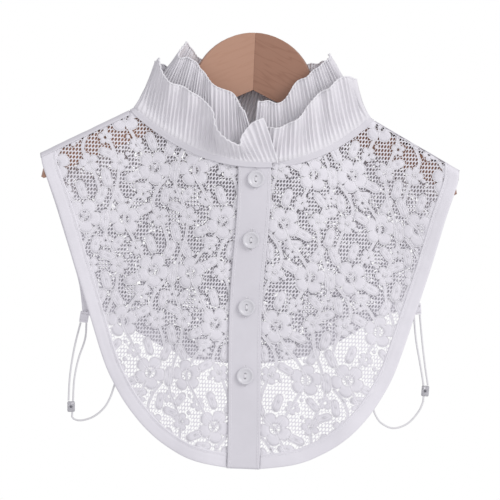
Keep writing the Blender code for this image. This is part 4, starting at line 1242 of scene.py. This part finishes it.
def swept_strip(side, outer, inner, section, lift, pucker=0.0, seed=1):
    """Points and faces of a strip between two runs of the pattern that have as many points."""
    section = np.array(section)
    share = section[:, 0][None, :]
    u = outer[:, 0:1] + (inner[:, 0:1] - outer[:, 0:1]) * share
    w = outer[:, 1:2] + (inner[:, 1:2] - outer[:, 1:2]) * share
    swell = puckers(len(outer), pucker, seed)[:, None] * np.sin(math.pi * share) * (section[:, 1] > 0)
    heights = section[:, 1][None, :] + lift + swell
    points = laid(side, u, w, heights).reshape(-1, 3)
    rows, columns = u.shape
    faces = grid_faces(rows, columns, closed=True)
    faces += [tuple(range(columns)), tuple((rows - 1) * columns + k for k in reversed(range(columns)))]
    return points, faces


def cut_at(run, u_end):
    """A run up to where it crosses a value of u."""
    run = np.asarray(run)
    for index in range(1, len(run)):
        before, after = run[index - 1][0] - u_end, run[index][0] - u_end
        if before * after <= 0.0 and before != after:
            point = run[index - 1] + (run[index] - run[index - 1]) * (before / (before - after))
            return np.concatenate([run[:index], [point]])
    return run


def strip_between(outer, inner, count):
    return even(outer, count), even(inner, count)


for label, flip in (("front_band_right", False), ("front_band_left", True)):
    corner = np.argmin(np.linalg.norm(front_edge - np.array([121.0, -271.0]), axis=1))
    outer = cut_at(front_edge, PLACKET_HALF - 0.4)
    inner = cut_at(front_inner, PLACKET_HALF - 0.4)
    upper = strip_between(outer[:corner + 1], inner[:corner + 1], 110)
    lower = strip_between(outer[corner:], inner[corner:], 90)
    outer = np.concatenate([upper[0][:-1], lower[0]])
    inner = np.concatenate([upper[1][:-1], lower[1]])
    if flip:
        outer, inner = outer * np.array([-1.0, 1.0]), inner * np.array([-1.0, 1.0])
    points, faces = swept_strip(FRONT, outer, inner, STRIP_SECTION, 0.0, 0.25, 3 + flip)
    band = finished(f"{label}_satin", turned_out(mesh_of(label, points, faces)), SATIN)
    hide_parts(label)
    if flip:
        stitch_line_front_left = inner
    else:
        stitch_line_front_right = inner

corner = len(armhole) - 1
turns = [0, corner, len(back_edge) - 1 - corner, len(back_edge) - 1]
outer_parts = []
inner_parts = []
for count, a, b in zip((80, 170, 80), turns, turns[1:]):
    outer_part, inner_part = strip_between(back_edge[a:b + 1], back_inner[a:b + 1], count)
    outer_parts.append(outer_part if b == turns[-1] else outer_part[:-1])
    inner_parts.append(inner_part if b == turns[-1] else inner_part[:-1])
back_outer = np.concatenate(outer_parts)
back_inner_even = np.concatenate(inner_parts)
points, faces = swept_strip(BACK, back_outer, back_inner_even, STRIP_SECTION, 0.0, 0.25, 7)
band = finished("back_band_satin", turned_out(mesh_of("back_band", points, faces)), SATIN)
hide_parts("back_band")

# %% [markdown]
# Placket and button stand
#
# The left front ends in a strip 27 mm wide that buttons over the right front. Both strips run from
# the neck to the hem. A line of stitching 2 mm inside each edge draws a shallow groove, and the edge
# beyond it stands up a little.

# %% Placket and button stand
PLACKET_SECTION = (
    (0.000, 0.0), (0.008, 0.42), (0.040, 0.62), (0.075, 0.38), (0.095, 0.36), (0.13, 0.48),
    (0.50, 0.52), (0.87, 0.48), (0.905, 0.36), (0.925, 0.38), (0.960, 0.62), (0.992, 0.42),
    (1.000, 0.0), (0.96, -0.40), (0.50, -0.45), (0.04, -0.40),
)
full_neck = np.concatenate([mirrored(neck_run(FRONT, BINDING_HEIGHT - 1.0))[:-1],
                            neck_run(FRONT, BINDING_HEIGHT - 1.0)])
full_hem = np.concatenate([front_edge, mirrored(front_edge)[1:]])


def height_at(run, u):
    """Pattern height of a run that goes from side to side, at u."""
    order = np.argsort(run[:, 0])
    return float(np.interp(u, run[order][:, 0], run[order][:, 1]))


for label, lift in (("button_stand", 0.0), ("placket", PLACKET_LIFT)):
    middle_hem = full_hem[(np.abs(full_hem[:, 0]) < 60.0)]
    sides = []
    for u in (-PLACKET_HALF, PLACKET_HALF):
        top_w = height_at(full_neck[np.abs(full_neck[:, 0]) < 60.0], u)
        sides.append(even([(u, top_w), (u, height_at(middle_hem, u) - 0.3)], 120))
    points, faces = swept_strip(FRONT, sides[0], sides[1], PLACKET_SECTION, lift, 0.10, 11)
    piece = finished(f"{label}_strip", turned_out(mesh_of(label, points, faces)), PLAIN_WHITE)
    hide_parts(label)

# %% [markdown]
# Shoulder strips
#
# A narrow strip covers each shoulder seam. The left one lies mostly on the front; the right one has
# rolled to the back, so the lace shows up to the edge there.

# %% Shoulder strips
SHOULDER_STRIPS = (("shoulder_strip_left", -1.0, 9.0, 9.0), ("shoulder_strip_right", 1.0, 2.2, 13.5))
SHOULDER_SECTION = np.array([
    (0.0, 0.0), (0.02, 0.40), (0.06, 0.50), (0.12, 0.40), (0.2, 0.5), (0.3, 0.5), (0.4, 0.5),
    (0.5, 0.5), (0.6, 0.5), (0.7, 0.5), (0.8, 0.5), (0.88, 0.40), (0.94, 0.50), (0.98, 0.40),
    (1.0, 0.0), (0.9, -0.3), (0.8, -0.3), (0.7, -0.3), (0.6, -0.3), (0.5, -0.3), (0.4, -0.3),
    (0.3, -0.3), (0.2, -0.3), (0.1, -0.3)])


def over_shoulder(u, distance, lift):
    """Points over the shoulder seam: a positive distance is down the front, a negative one down
    the back."""
    front = laid(FRONT, u, seam_w(u, np.maximum(distance, 0.0)), lift)
    back = laid(BACK, u, seam_w(u, np.maximum(-distance, 0.0)), lift)
    return np.where((distance >= 0.0)[..., None], front, back)


for label, sign, down_front, down_back in SHOULDER_STRIPS:
    u = sign * np.linspace(NECK_HALF + BINDING_HEIGHT + 0.4, SHOULDER_HALF + 0.2, 60)
    distance = down_front - (down_front + down_back) * SHOULDER_SECTION[:, 0]
    grid_u, grid_distance = np.meshgrid(u, distance, indexing="ij")
    heights = SHOULDER_SECTION[:, 1][None, :] + 0.85 + puckers(60, 0.15, 5)[:, None]
    points = over_shoulder(grid_u, grid_distance, heights * np.ones_like(grid_u)).reshape(-1, 3)
    rows, columns = grid_u.shape
    faces = grid_faces(rows, columns, closed=True)
    faces += [tuple(range(columns)), tuple((rows - 1) * columns + k for k in reversed(range(columns)))]
    piece = finished(f"{label}_satin", turned_out(mesh_of(label, points, faces)), PLAIN_WHITE)
    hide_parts(label)

# %% [markdown]
# The neck seam, and the strip that binds it
#
# The ruffles are gathered into a strip 5 mm high that follows the neck all round. The seam is the
# front's neck line joined to the back's over the arms of the hanger; distance along it tells where
# each pleat stands.

# %% Neck seam and binding


def seam_half(side, distance):
    """The right half of the neck seam, evened, with a run this distance below it and even shares along it."""
    run = neck_run(side)
    far = neck_run(side, distance)
    short = min(len(run), len(far))
    wanted = np.linspace(0.0, 1.0, 90)
    return even(run, 89), even(far[-short:], 89), wanted


def ring_points():
    places = []
    fars = []
    outs = []
    for side, turned in ((FRONT, False), (BACK, True)):
        run = even(neck_run(side), 110)
        ends = moved_in(run, BINDING_HEIGHT)
        past = NECK_HALF + BINDING_HEIGHT * math.cos(math.atan(SHOULDER_SLOPE))
        ends[:, 0] = np.minimum(ends[:, 0], past)
        over = seam_w(ends[:, 0], 0.3)
        ends[:, 1] = np.minimum(ends[:, 1], over)
        near_seam = run[:, 0] > NECK_HALF - 0.5
        ends[near_seam, 0] = past
        ends[near_seam, 1] = seam_w(past, 1.0) + run[near_seam, 1] - seam_w(NECK_HALF, 1.0)
        place, far = cloth(side, run[:, 0], run[:, 1]), cloth(side, ends[:, 0], ends[:, 1])
        out = out_of(side, run[:, 0], run[:, 1])
        if turned:
            place, far, out = place[::-1], far[::-1], out[::-1]
        places.append(place)
        fars.append(far)
        outs.append(out)
    left = []
    for side, turned in ((BACK, False), (FRONT, True)):
        run = even(neck_run(side), 110) * np.array([-1.0, 1.0])
        ends = moved_in(run[::-1], BINDING_HEIGHT)[::-1]
        past = NECK_HALF + BINDING_HEIGHT * math.cos(math.atan(SHOULDER_SLOPE))
        ends[:, 0] = np.maximum(ends[:, 0], -past)
        ends[:, 1] = np.minimum(ends[:, 1], seam_w(ends[:, 0], 0.3))
        near_seam = run[:, 0] < -NECK_HALF + 0.5
        ends[near_seam, 0] = -past
        ends[near_seam, 1] = seam_w(past, 1.0) + run[near_seam, 1] - seam_w(NECK_HALF, 1.0)
        place, far = cloth(side, run[:, 0], run[:, 1]), cloth(side, ends[:, 0], ends[:, 1])
        out = out_of(side, run[:, 0], run[:, 1])
        if turned:
            place, far, out = place[::-1], far[::-1], out[::-1]
        places.append(place)
        fars.append(far)
        outs.append(out)
    places = np.concatenate(places)
    steps = np.linalg.norm(np.diff(places, axis=0), axis=1)
    keep = np.concatenate([[True], steps > 0.02])
    places = places[keep]
    lengths = np.concatenate([[0.0], np.cumsum(np.linalg.norm(np.diff(places, axis=0), axis=1))])
    return places, np.concatenate(fars)[keep], np.concatenate(outs)[keep], lengths


RING, RING_FAR, RING_OUT, RING_LENGTHS = ring_points()
RING_TOTAL = RING_LENGTHS[-1]
print("neck seam:", round(RING_TOTAL), "mm round")


def on_ring(values, along):
    """Values on the neck seam at these distances along it."""
    wanted = np.mod(along, RING_TOTAL)
    return np.stack([np.interp(wanted, RING_LENGTHS, values[:, k]) for k in range(3)], axis=-1)


def level_out(along):
    """The level direction out of the neck opening."""
    tangent = on_ring(RING, along + 7.0) - on_ring(RING, along - 7.0)
    way = np.stack([tangent[..., 1], -tangent[..., 0], np.zeros(tangent.shape[:-1])], axis=-1)
    return way / np.linalg.norm(way, axis=-1, keepdims=True)


def end_lift(along, ends, lifts):
    """How far a neck strip stands out further where its ends lie over each other."""
    gone = ends[0] - along
    total = ends[0] - ends[1] + RING_TOTAL
    return lifts[0] * ease(2.0 - gone / 26.0) + lifts[1] * ease(2.0 - (total - gone) / 26.0)


BINDING_ENDS = (PLACKET_HALF, -PLACKET_HALF)
BINDING_SECTION = np.array([
    (-0.04, 0.2), (-0.02, 0.85), (0.06, 1.15), (0.30, 1.05), (0.62, 1.05), (0.78, 0.85),
    (0.84, 0.85), (0.95, 1.05), (1.05, 0.80), (1.08, 0.1), (1.0, -0.35), (0.1, -0.35)])
along = BINDING_ENDS[0] - np.linspace(0.0, BINDING_ENDS[0] - BINDING_ENDS[1] + RING_TOTAL, 420)
near, far, way = on_ring(RING, along), on_ring(RING_FAR, along), on_ring(RING_OUT, along)
way /= np.linalg.norm(way, axis=1)[:, None]
lift = 0.6 + end_lift(along, BINDING_ENDS, (2.0, -2.0))
share = BINDING_SECTION[:, 0][None, :, None]
heights = BINDING_SECTION[:, 1][None, :, None] + lift[:, None, None]
heights = heights + puckers(420, 0.12, 21)[:, None, None]
grid = near[:, None, :] + (far - near)[:, None, :] * share + way[:, None, :] * heights
rows, columns = grid.shape[:2]
faces = grid_faces(rows, columns, closed=True)
faces += [tuple(range(columns)), tuple((rows - 1) * columns + k for k in reversed(range(columns)))]
binding = finished("neck_binding_satin",
                   turned_out(mesh_of("neck_binding", grid.reshape(-1, 3) * MM, faces)), PLAIN_WHITE)
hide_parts("neck_binding")

# %% [markdown]
# The pleated ruffles
#
# Two strips stand up from the neck seam, pleated about 120 times each, with a rolled hem along the
# top. The wavy run of the top edge is a table of points against the distance along the
# seam, as in the solids. The smooth strip is made first, and Geometry Nodes then folds it: each point
# moves out or in along its normal by a zigzag of its place along the strip.

# %% Ruffles: tables of the top edge
OUTER_TOP = (
    (18.0, 9.0, -37.0, -71.0), (9.0, 0.5, -39.5, -76.0), (0.0, -7.5, -39.5, -87.0),
    (-9.0, -9.0, -43.0, -95.0), (-19.0, -19.0, -47.0, -90.0), (-29.0, -29.0, -44.0, -81.0),
    (-39.0, -33.0, -36.0, -66.0), (-50.0, -43.0, -31.0, -56.5), (-62.0, -53.0, -32.0, -50.5),
    (-75.0, -64.0, -30.5, -46.5), (-90.0, -73.5, -28.5, -40.0), (-104.0, -78.5, -18.0, -26.0),
    (-120.0, -78.0, -4.0, -29.0), (-138.0, -67.0, 10.0, -33.0), (-157.0, -47.0, 18.0, -35.5),
    (-178.0, -26.0, 21.0, -40.0), (-198.0, -8.0, 24.5, -42.5), (-218.0, 9.0, 24.0, -42.0),
    (198.0, 26.0, 22.5, -40.0), (178.0, 40.0, 20.0, -38.0), (157.0, 57.0, 16.5, -36.0),
    (137.0, 72.0, 6.0, -37.0), (119.0, 81.5, -9.0, -35.5), (103.0, 81.0, -21.0, -35.0),
    (89.0, 74.0, -28.5, -34.5), (76.0, 64.0, -31.5, -42.0), (63.0, 56.0, -31.5, -48.5),
    (51.0, 47.0, -34.0, -57.0), (40.0, 41.0, -34.0, -67.0), (29.0, 33.0, -37.0, -74.0),
    (18.0, 24.0, -34.0, -78.0), (6.0, 13.0, -32.5, -79.0), (-6.0, 2.0, -33.0, -82.0),
)
INNER_TOP = (
    (4.0, -7.0, -26.0, -65.0), (-5.0, -10.5, -25.5, -61.0), (-16.0, -16.5, -23.5, -51.5),
    (-28.0, -27.0, -24.0, -48.5), (-41.0, -37.5, -21.5, -40.0), (-55.0, -43.5, -20.0, -32.5),
    (-72.0, -50.5, -19.0, -25.0), (-90.0, -59.0, -17.5, -24.0), (-106.0, -62.5, -12.0, -21.5),
    (-124.0, -56.0, -3.0, -10.5), (-144.0, -50.0, 3.5, -19.0), (-162.0, -38.0, 9.0, -26.0),
    (-180.0, -22.0, 10.0, -31.0), (-198.0, -7.0, 14.0, -33.0), (-218.0, 9.0, 12.0, -32.5),
    (200.0, 22.0, 12.5, -30.5), (180.0, 36.0, 9.5, -27.0), (158.0, 50.0, 7.5, -23.0),
    (137.0, 59.0, 1.0, -21.0), (119.0, 61.5, -8.0, -18.5), (103.0, 62.5, -15.5, -17.0),
    (87.0, 57.5, -19.5, -23.0), (70.0, 49.5, -20.0, -30.0), (56.0, 42.0, -20.0, -36.0),
    (43.0, 33.5, -21.0, -43.0), (31.0, 26.5, -20.5, -55.0), (21.0, 20.0, -21.0, -58.0),
    (9.0, 12.0, -21.0, -57.0), (-3.0, 5.0, -20.0, -56.5),
)

# %% Ruffles: the pleating tree, and the two strips
PLEATS = 122
COLUMNS = PLEATS * 8
LEVELS = 14
RUFFLES = (
    {"name": "ruffle_outer", "top": OUTER_TOP, "ends": (18.0, -6.0), "lift": 1.9,
     "end_lifts": (2.0, 0.0), "bow": 2.6, "tuck": 0.5, "frill": 1.5,
     "depth": 0.0013},
    {"name": "ruffle_inner", "top": INNER_TOP, "ends": (4.0, -3.0), "lift": -0.9,
     "end_lifts": (0.0, -2.0), "bow": 2.0, "tuck": 0.0, "frill": 1.0,
     "depth": 0.0016},
)


def pleat_tree():
    tree, given, out = new_tree("fine_pleats", [
        ("Pleats", "NodeSocketFloat", 120.0), ("Depth", "NodeSocketFloat", 0.0011),
        ("Uneven", "NodeSocketFloat", 0.35),
        ("Seed", "NodeSocketFloat", 1.0), ("Material", "NodeSocketMaterial", None)])
    share = add_node(tree, "GeometryNodeInputNamedAttribute", {"data_type": "FLOAT"},
                     values={"Name": "share"})
    level = add_node(tree, "GeometryNodeInputNamedAttribute", {"data_type": "FLOAT"},
                     values={"Name": "level"})
    turns = math_node(tree, "MULTIPLY", share.outputs["Attribute"], given.outputs["Pleats"])
    spot = add_node(tree, "ShaderNodeCombineXYZ", links={
        "X": math_node(tree, "MULTIPLY", share.outputs["Attribute"], 60.0),
        "Y": math_node(tree, "MULTIPLY", level.outputs["Attribute"], 0.8),
        "Z": given.outputs["Seed"]})
    stray = add_node(tree, "ShaderNodeTexNoise", values={"Scale": 1.0, "Detail": 1.0},
                     links={"Vector": spot.outputs["Vector"]})
    shift = math_node(tree, "MULTIPLY", math_node(
        tree, "SUBTRACT", stray.outputs["Fac"], 0.5), given.outputs["Uneven"])
    phase = math_node(tree, "ADD", turns, math_node(tree, "MULTIPLY", shift, 2.0))
    wave = math_node(tree, "SINE", math_node(tree, "MULTIPLY", phase, math.pi))
    ridge = math_node(tree, "SUBTRACT", math_node(
        tree, "MULTIPLY", math_node(tree, "ABSOLUTE", wave), 2.0), 1.2)
    deep = math_node(tree, "ADD", 1.0, shift)
    depth = tree.nodes.new("ShaderNodeFloatCurve")
    tree.links.new(level.outputs["Attribute"], depth.inputs["Value"])
    for place, value in ((0.10, 0.55), (0.35, 1.0), (0.75, 0.80)):
        depth.mapping.curves[0].points.new(place, value)
    depth.mapping.curves[0].points[0].location = (0.0, 0.10)
    depth.mapping.curves[0].points[-1].location = (1.0, 0.38)
    amount = math_node(tree, "MULTIPLY", math_node(tree, "MULTIPLY", ridge, deep), math_node(
        tree, "MULTIPLY", depth.outputs["Value"], given.outputs["Depth"]))
    normal = tree.nodes.new("GeometryNodeInputNormal")
    offset = add_node(tree, "ShaderNodeVectorMath", {"operation": "SCALE"}, links={
        0: normal.outputs["Normal"], "Scale": amount})
    folded = add_node(tree, "GeometryNodeSetPosition", links={
        "Geometry": given.outputs["Geometry"], "Offset": offset.outputs["Vector"]})
    ends_with(tree, folded.outputs["Geometry"], given, out)
    return tree


PLEAT_TREE = pleat_tree()


def clear_height(along):
    """Height of the ruffles' lower edge, just over the binding all round each station."""
    heights = []
    for aside in (-4.0, -2.0, 0.0, 2.0, 4.0):
        place, way = on_ring(RING, along + aside), on_ring(RING_OUT, along + aside)
        heights.append(place[..., 2] + np.maximum(0.0, way[..., 2]) * 1.8)
    return np.max(heights, axis=0)


def ruffle_grid(ruffle):
    """The smooth strip before it is pleated, level by level."""
    ends = ruffle["ends"]
    total = ends[0] - ends[1] + RING_TOTAL
    gone = np.linspace(0.0, total, COLUMNS + 1)
    along = ends[0] - gone
    way = level_out(along)
    base = on_ring(RING, along)
    base[:, 2] = clear_height(along) - 0.4
    base += way * (ruffle["lift"] + end_lift(along, ends, ruffle["end_lifts"]))[:, None]
    rows = np.array(ruffle["top"])
    travelled = ends[0] - rows[:, 0]
    travelled = np.where(np.concatenate([[False], np.diff(travelled) < 0]).cumsum() > 0,
                         travelled + RING_TOTAL, travelled)
    run = smooth_run(np.column_stack([travelled, rows[:, 1:]]), 8)
    top = np.stack([np.interp(gone, run[:, 0], run[:, k]) for k in (1, 2, 3)], axis=1)
    levels = np.linspace(0.0, 1.0, LEVELS + 1)
    grid = base[None] + (top - base)[None] * levels[:, None, None]
    inward = np.sin(math.pi * levels ** 0.7) * ruffle["bow"]
    grid = grid - way[None] * inward[:, None, None]
    frill = np.sin(gone * 2 * math.pi / 19.0 + 1.0) + 0.7 * np.sin(gone * 2 * math.pi / 31.0)
    grid += way[None] * (levels[:, None] ** 2 * frill[None] * ruffle["frill"])[:, :, None]
    grid[:, :, 2] += levels[:, None] ** 2 * frill[None] * -0.5
    tuck = on_ring(RING, along) * 0.65 + on_ring(RING_FAR, along) * 0.35
    outward = 0.6 + end_lift(along, BINDING_ENDS, (2.0, -2.0)) + ruffle["tuck"]
    tuck += on_ring(RING_OUT, along) * outward[:, None]
    grid = np.concatenate([tuck[None], grid])
    return grid * MM, gone / total, np.concatenate([[0.0], levels])


for index, ruffle in enumerate(RUFFLES):
    grid, share, levels = ruffle_grid(ruffle)
    rows, columns = grid.shape[:2]
    smooth = mesh_of(ruffle["name"], grid.reshape(-1, 3), grid_faces(rows, columns))
    for label, values in (("share", np.tile(share, rows)), ("level", np.repeat(levels, columns))):
        smooth.attributes.new(label, "FLOAT", "POINT").data.foreach_set("value", values)
    smooth.shade_smooth()
    pleated = result_of(ruffle["name"], smooth, PLEAT_TREE, {
        "Pleats": float(PLEATS), "Depth": ruffle["depth"], "Uneven": 0.4,
        "Seed": 3.0 + index, "Material": RUFFLE_WHITE})
    points, faces = flat_arrays(pleated)
    strip = finished(f"{ruffle['name']}_pleated", pleated, RUFFLE_WHITE)
    wall = strip.modifiers.new("cloth", "SOLIDIFY")
    wall.thickness = 0.35 * MM
    wall.offset = 0.0
    edge = np.concatenate([points.reshape(rows, columns, 3)[:, 0], points.reshape(rows, columns, 3)[-1, 1:-1],
                           points.reshape(rows, columns, 3)[::-1, -1]])
    hem = finished(f"{ruffle['name']}_hem", mesh_of("hem", *tube(edge, 0.65 * MM, 6)), CORD_WHITE)
    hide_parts(ruffle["name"])
    heights = np.linalg.norm(np.diff(grid, axis=0), axis=2).sum(axis=0)

# %% [markdown]
# Stitches
#
# Thread shows wherever a strip is sewn down. One stitch is a short rounded bar; Geometry Nodes puts
# copies on points along a line, each turned along it. The points and their turns come from the same
# runs that made the strips.

# %% Stitches
stitch_shape = turned_out(mesh_of("stitch", *tube(
    [(-1.0, 0.0, 0.0), (-0.8, 0.0, 0.12), (0.0, 0.0, 0.2), (0.8, 0.0, 0.12), (1.0, 0.0, 0.0)], 0.20, 5)))
STITCH = bpy.data.objects.new("stitch", stitch_shape)


def stitches(name, side, run, lift, step=2.7):
    """A line of stitches along a run of the pattern."""
    run = np.asarray(run)
    line = even(run, max(4, int(run_length(run) / step)))
    ahead = np.gradient(line, axis=0)
    start = mesh_of("line", [(u, w, 0.0) for u, w in line[1:-1]], [])
    for label, values in (("turn", np.arctan2(ahead[1:-1, 1], ahead[1:-1, 0])),
                          ("size", np.ones(len(line) - 2))):
        start.attributes.new(label, "FLOAT", "POINT").data.foreach_set("value", values)
    mesh = result_of(name, start, CHART_TREE, {"Motif": STITCH, "Material": CORD_WHITE})
    points, faces = flat_arrays(mesh)
    if side is BACK:
        faces = [face[::-1] for face in faces]
    return laid(side, points[:, 0], points[:, 1], points[:, 2] + lift), faces


def share_between(outer, inner, share):
    return outer + (inner - outer) * share


sewn = []
for flip in (1.0, -1.0):
    mirror = np.array([flip, 1.0])
    sewn.append(stitches("band", FRONT, share_between(
        even(cut_at(front_edge, PLACKET_HALF), 200), even(cut_at(front_inner, PLACKET_HALF), 200),
        0.81) * mirror, 0.48))
sewn.append(stitches("back", BACK, share_between(back_outer, back_inner_even, 0.81), 0.48))
for u in (-PLACKET_HALF + 2.3, PLACKET_HALF - 2.3):
    sewn.append(stitches("placket", FRONT, [(u, height_at(full_neck[np.abs(full_neck[:, 0]) < 60], u) - 3.0),
                                            (u, height_at(full_hem[np.abs(full_hem[:, 0]) < 60], u) + 2.0)],
                         PLACKET_LIFT + 0.38, 2.6))
sewing = finished("stitching", mesh_of("stitching", *add_parts(sewn)), CORD_WHITE)
print("stitches:", len(sewing.data.polygons) // 22)

# %% [markdown]
# Buttons and buttonholes
#
# Four pearly two-hole buttons, 14 mm across, with a raised rim. Each is turned from a profile with
# the holes cut through, and a few turns of thread cross between the holes. The buttonhole behind each
# is a narrow slot edged with close stitches, of which only the ends show.

# %% Buttons
BUTTON_RADIUS = 7.0
BUTTON_WALL = 2.6
BUTTON_PLACES = ((1.0, -121.0), (0.5, -170.5), (1.0, -226.0), (0.4, -282.5))
BUTTON_PROFILE = (
    (0.0, 0.35), (3.6, 0.38), (4.6, 0.55), (5.2, 0.95), (5.7, 1.22), (6.2, 1.30), (6.7, 1.15),
    (6.95, 0.75), (7.0, 0.40), (6.8, -0.1), (6.0, -0.8), (5.0, -1.25), (0.0, -1.3),
)


def button_mesh(name):
    shape = bmesh.new()
    corners = [shape.verts.new((x * MM, 0.0, z * MM)) for x, z in BUTTON_PROFILE]
    edges = [shape.edges.new(pair) for pair in zip(corners, corners[1:])]
    bmesh.ops.spin(shape, geom=corners + edges, cent=(0, 0, 0), axis=(0, 0, 1),
                   angle=2 * math.pi, steps=56, use_duplicate=False)
    mesh = bpy.data.meshes.new(name)
    shape.to_mesh(mesh)
    shape.free()
    turned_out(mesh)
    disc = bpy.data.objects.new(name, mesh)
    scene.collection.objects.link(disc)
    drills = []
    for sign in (-1.0, 1.0):
        hole = bmesh.new()
        bmesh.ops.create_cone(hole, cap_ends=True, segments=20, depth=8 * MM, radius1=0.95 * MM,
                              radius2=0.95 * MM)
        hole_mesh = bpy.data.meshes.new("drill")
        hole.to_mesh(hole_mesh)
        hole.free()
        drill = bpy.data.objects.new("drill", hole_mesh)
        drill.location = (0.0, sign * 1.7 * MM, 0.0)
        scene.collection.objects.link(drill)
        cut = disc.modifiers.new("hole", "BOOLEAN")
        cut.object = drill
        drills.append(drill)
    bpy.context.view_layer.update()
    seen = disc.evaluated_get(bpy.context.evaluated_depsgraph_get())
    cut_mesh = bpy.data.meshes.new_from_object(seen)
    for drill in drills + [disc]:
        bpy.data.objects.remove(drill, do_unlink=True)
    cut_mesh.set_sharp_from_angle(angle=math.radians(40.0))
    return cut_mesh


for number, (across, height) in enumerate(BUTTON_PLACES, start=1):
    lift = PLACKET_LIFT + 0.6 + 0.3 + BUTTON_WALL / 2
    place = Vector(laid(FRONT, across, height, lift))
    facing = Vector(out_of(FRONT, across, height))
    where = Matrix.Translation(place) @ facing.to_track_quat("Z", "Y").to_matrix().to_4x4()
    mesh = button_mesh(f"button_{number}")
    mesh.transform(where)
    button = finished(f"button_{number}_pearl", mesh, PEARL, smooth=False)
    button.data.shade_smooth()
    button.data.set_sharp_from_angle(angle=math.radians(40.0))
    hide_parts(f"button_{number}")
    turns = []
    for aside in (-0.45, 0.0, 0.45):
        turns.append(tube([(aside, -1.9, -0.9), (aside, -1.6, 0.35), (aside, -0.8, 0.72),
                           (aside, 0.8, 0.72), (aside, 1.6, 0.35), (aside, 1.9, -0.9)], 0.24, 6))
    points, faces = add_parts(turns)
    thread_mesh = mesh_of("thread", points * MM, faces)
    thread_mesh.transform(where)
    finished(f"button_{number}_thread", thread_mesh, CORD_WHITE)
    bars = []
    for index in range(36):
        w = height - 8.6 + index * 17.2 / 35
        bars.append(tube([(across - 0.9, w, 0.0), (across + 0.9, w, 0.0)], 0.22, 4))
    points, faces = add_parts(bars)
    edge_mesh = laid_mesh("buttonhole", FRONT, points, faces, PLACKET_LIFT + 0.55)
    finished(f"buttonhole_{number}", edge_mesh, CORD_WHITE)

# %% [markdown]
# Ribbon tabs
#
# Each elastic is held at the back's lower corner by the folded end of a ribbon. It is a small closed
# strip, a little rounded, with a bar of stitches across it.

# %% Ribbon tabs
for side, strap in STRAPS.items():
    shape = bmesh.new()
    bmesh.ops.create_cube(shape, size=1.0)
    bmesh.ops.scale(shape, verts=shape.verts, vec=(7.2 * MM, 1.5 * MM, 9.2 * MM))
    bmesh.ops.bevel(shape, geom=shape.edges[:], offset=0.6 * MM, segments=3, profile=0.5,
                    affect="EDGES")
    mesh = bpy.data.meshes.new(f"tab_{side}")
    shape.to_mesh(mesh)
    shape.free()
    where = Matrix.Translation(Vector(strap["tab"]) * MM) @ Matrix.Rotation(strap["tab_tilt"], 4, "Y")
    mesh.transform(where)
    tab = finished(f"tab_{side}_ribbon", mesh, SATIN)
    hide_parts(f"strap_tab_{side}")
    rows = []
    for height in (2.6, 1.9, -2.9):
        rows.append(tube([(-2.9, -0.8, height), (0.0, -0.9, height), (2.9, -0.8, height)], 0.22, 5))
    points, faces = add_parts(rows)
    bar = mesh_of("tab_stitch", points * MM, faces)
    bar.transform(where)
    finished(f"tab_{side}_stitches", bar, CORD_WHITE)

# %% [markdown]
# The hanger
#
# Two flat boards meet at a mitre in the middle. Their solids already have the right shape, so they
# stay as they are and only take the wood.

# %% Hanger
# The left board takes the lit copy of the wood, and the right board the copy darkened with painted shade.
for name, wood in (("hanger_left", WOOD_LEFT_LIT), ("hanger_right", WOOD_RIGHT_SHADED)):
    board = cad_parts[name]
    for place in board.material_slots:
        place.material = wood
    if not board.material_slots:
        board.data.materials.append(wood)

# %% [markdown]
# The glue line between the boards
#
# The two boards are separate solids with a hair of air between them. A thin sliver of the same wood
# fills the joint, cut to the shape that the left board ends in.

# %% Glue line
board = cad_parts["hanger_left"]
ends = np.array([board.matrix_world @ vertex.co for vertex in board.data.vertices])
ends = ends[ends[:, 0] > ends[:, 0].max() - 0.0001]
middle = ends.mean(axis=0)
order = np.argsort(np.arctan2(ends[:, 2] - middle[2], ends[:, 1] - middle[1]))
loop = middle + (ends[order] - middle) * np.array([1.0, 0.96, 0.985])
loop[:, 0] = -0.25 * MM
other = loop + np.array([0.5 * MM, 0.0, 0.0])
count = len(loop)
faces = [tuple(range(count)), tuple(count + k for k in reversed(range(count)))]
faces += [(k, (k + 1) % count, count + (k + 1) % count, count + k) for k in range(count)]
joint = mesh_of("joint", np.concatenate([loop, other]), faces)
# The sliver takes the right board's copy of the wood, darkened with painted shade.
finished("board_joint", turned_out(joint), WOOD_RIGHT_SHADED, smooth=False)
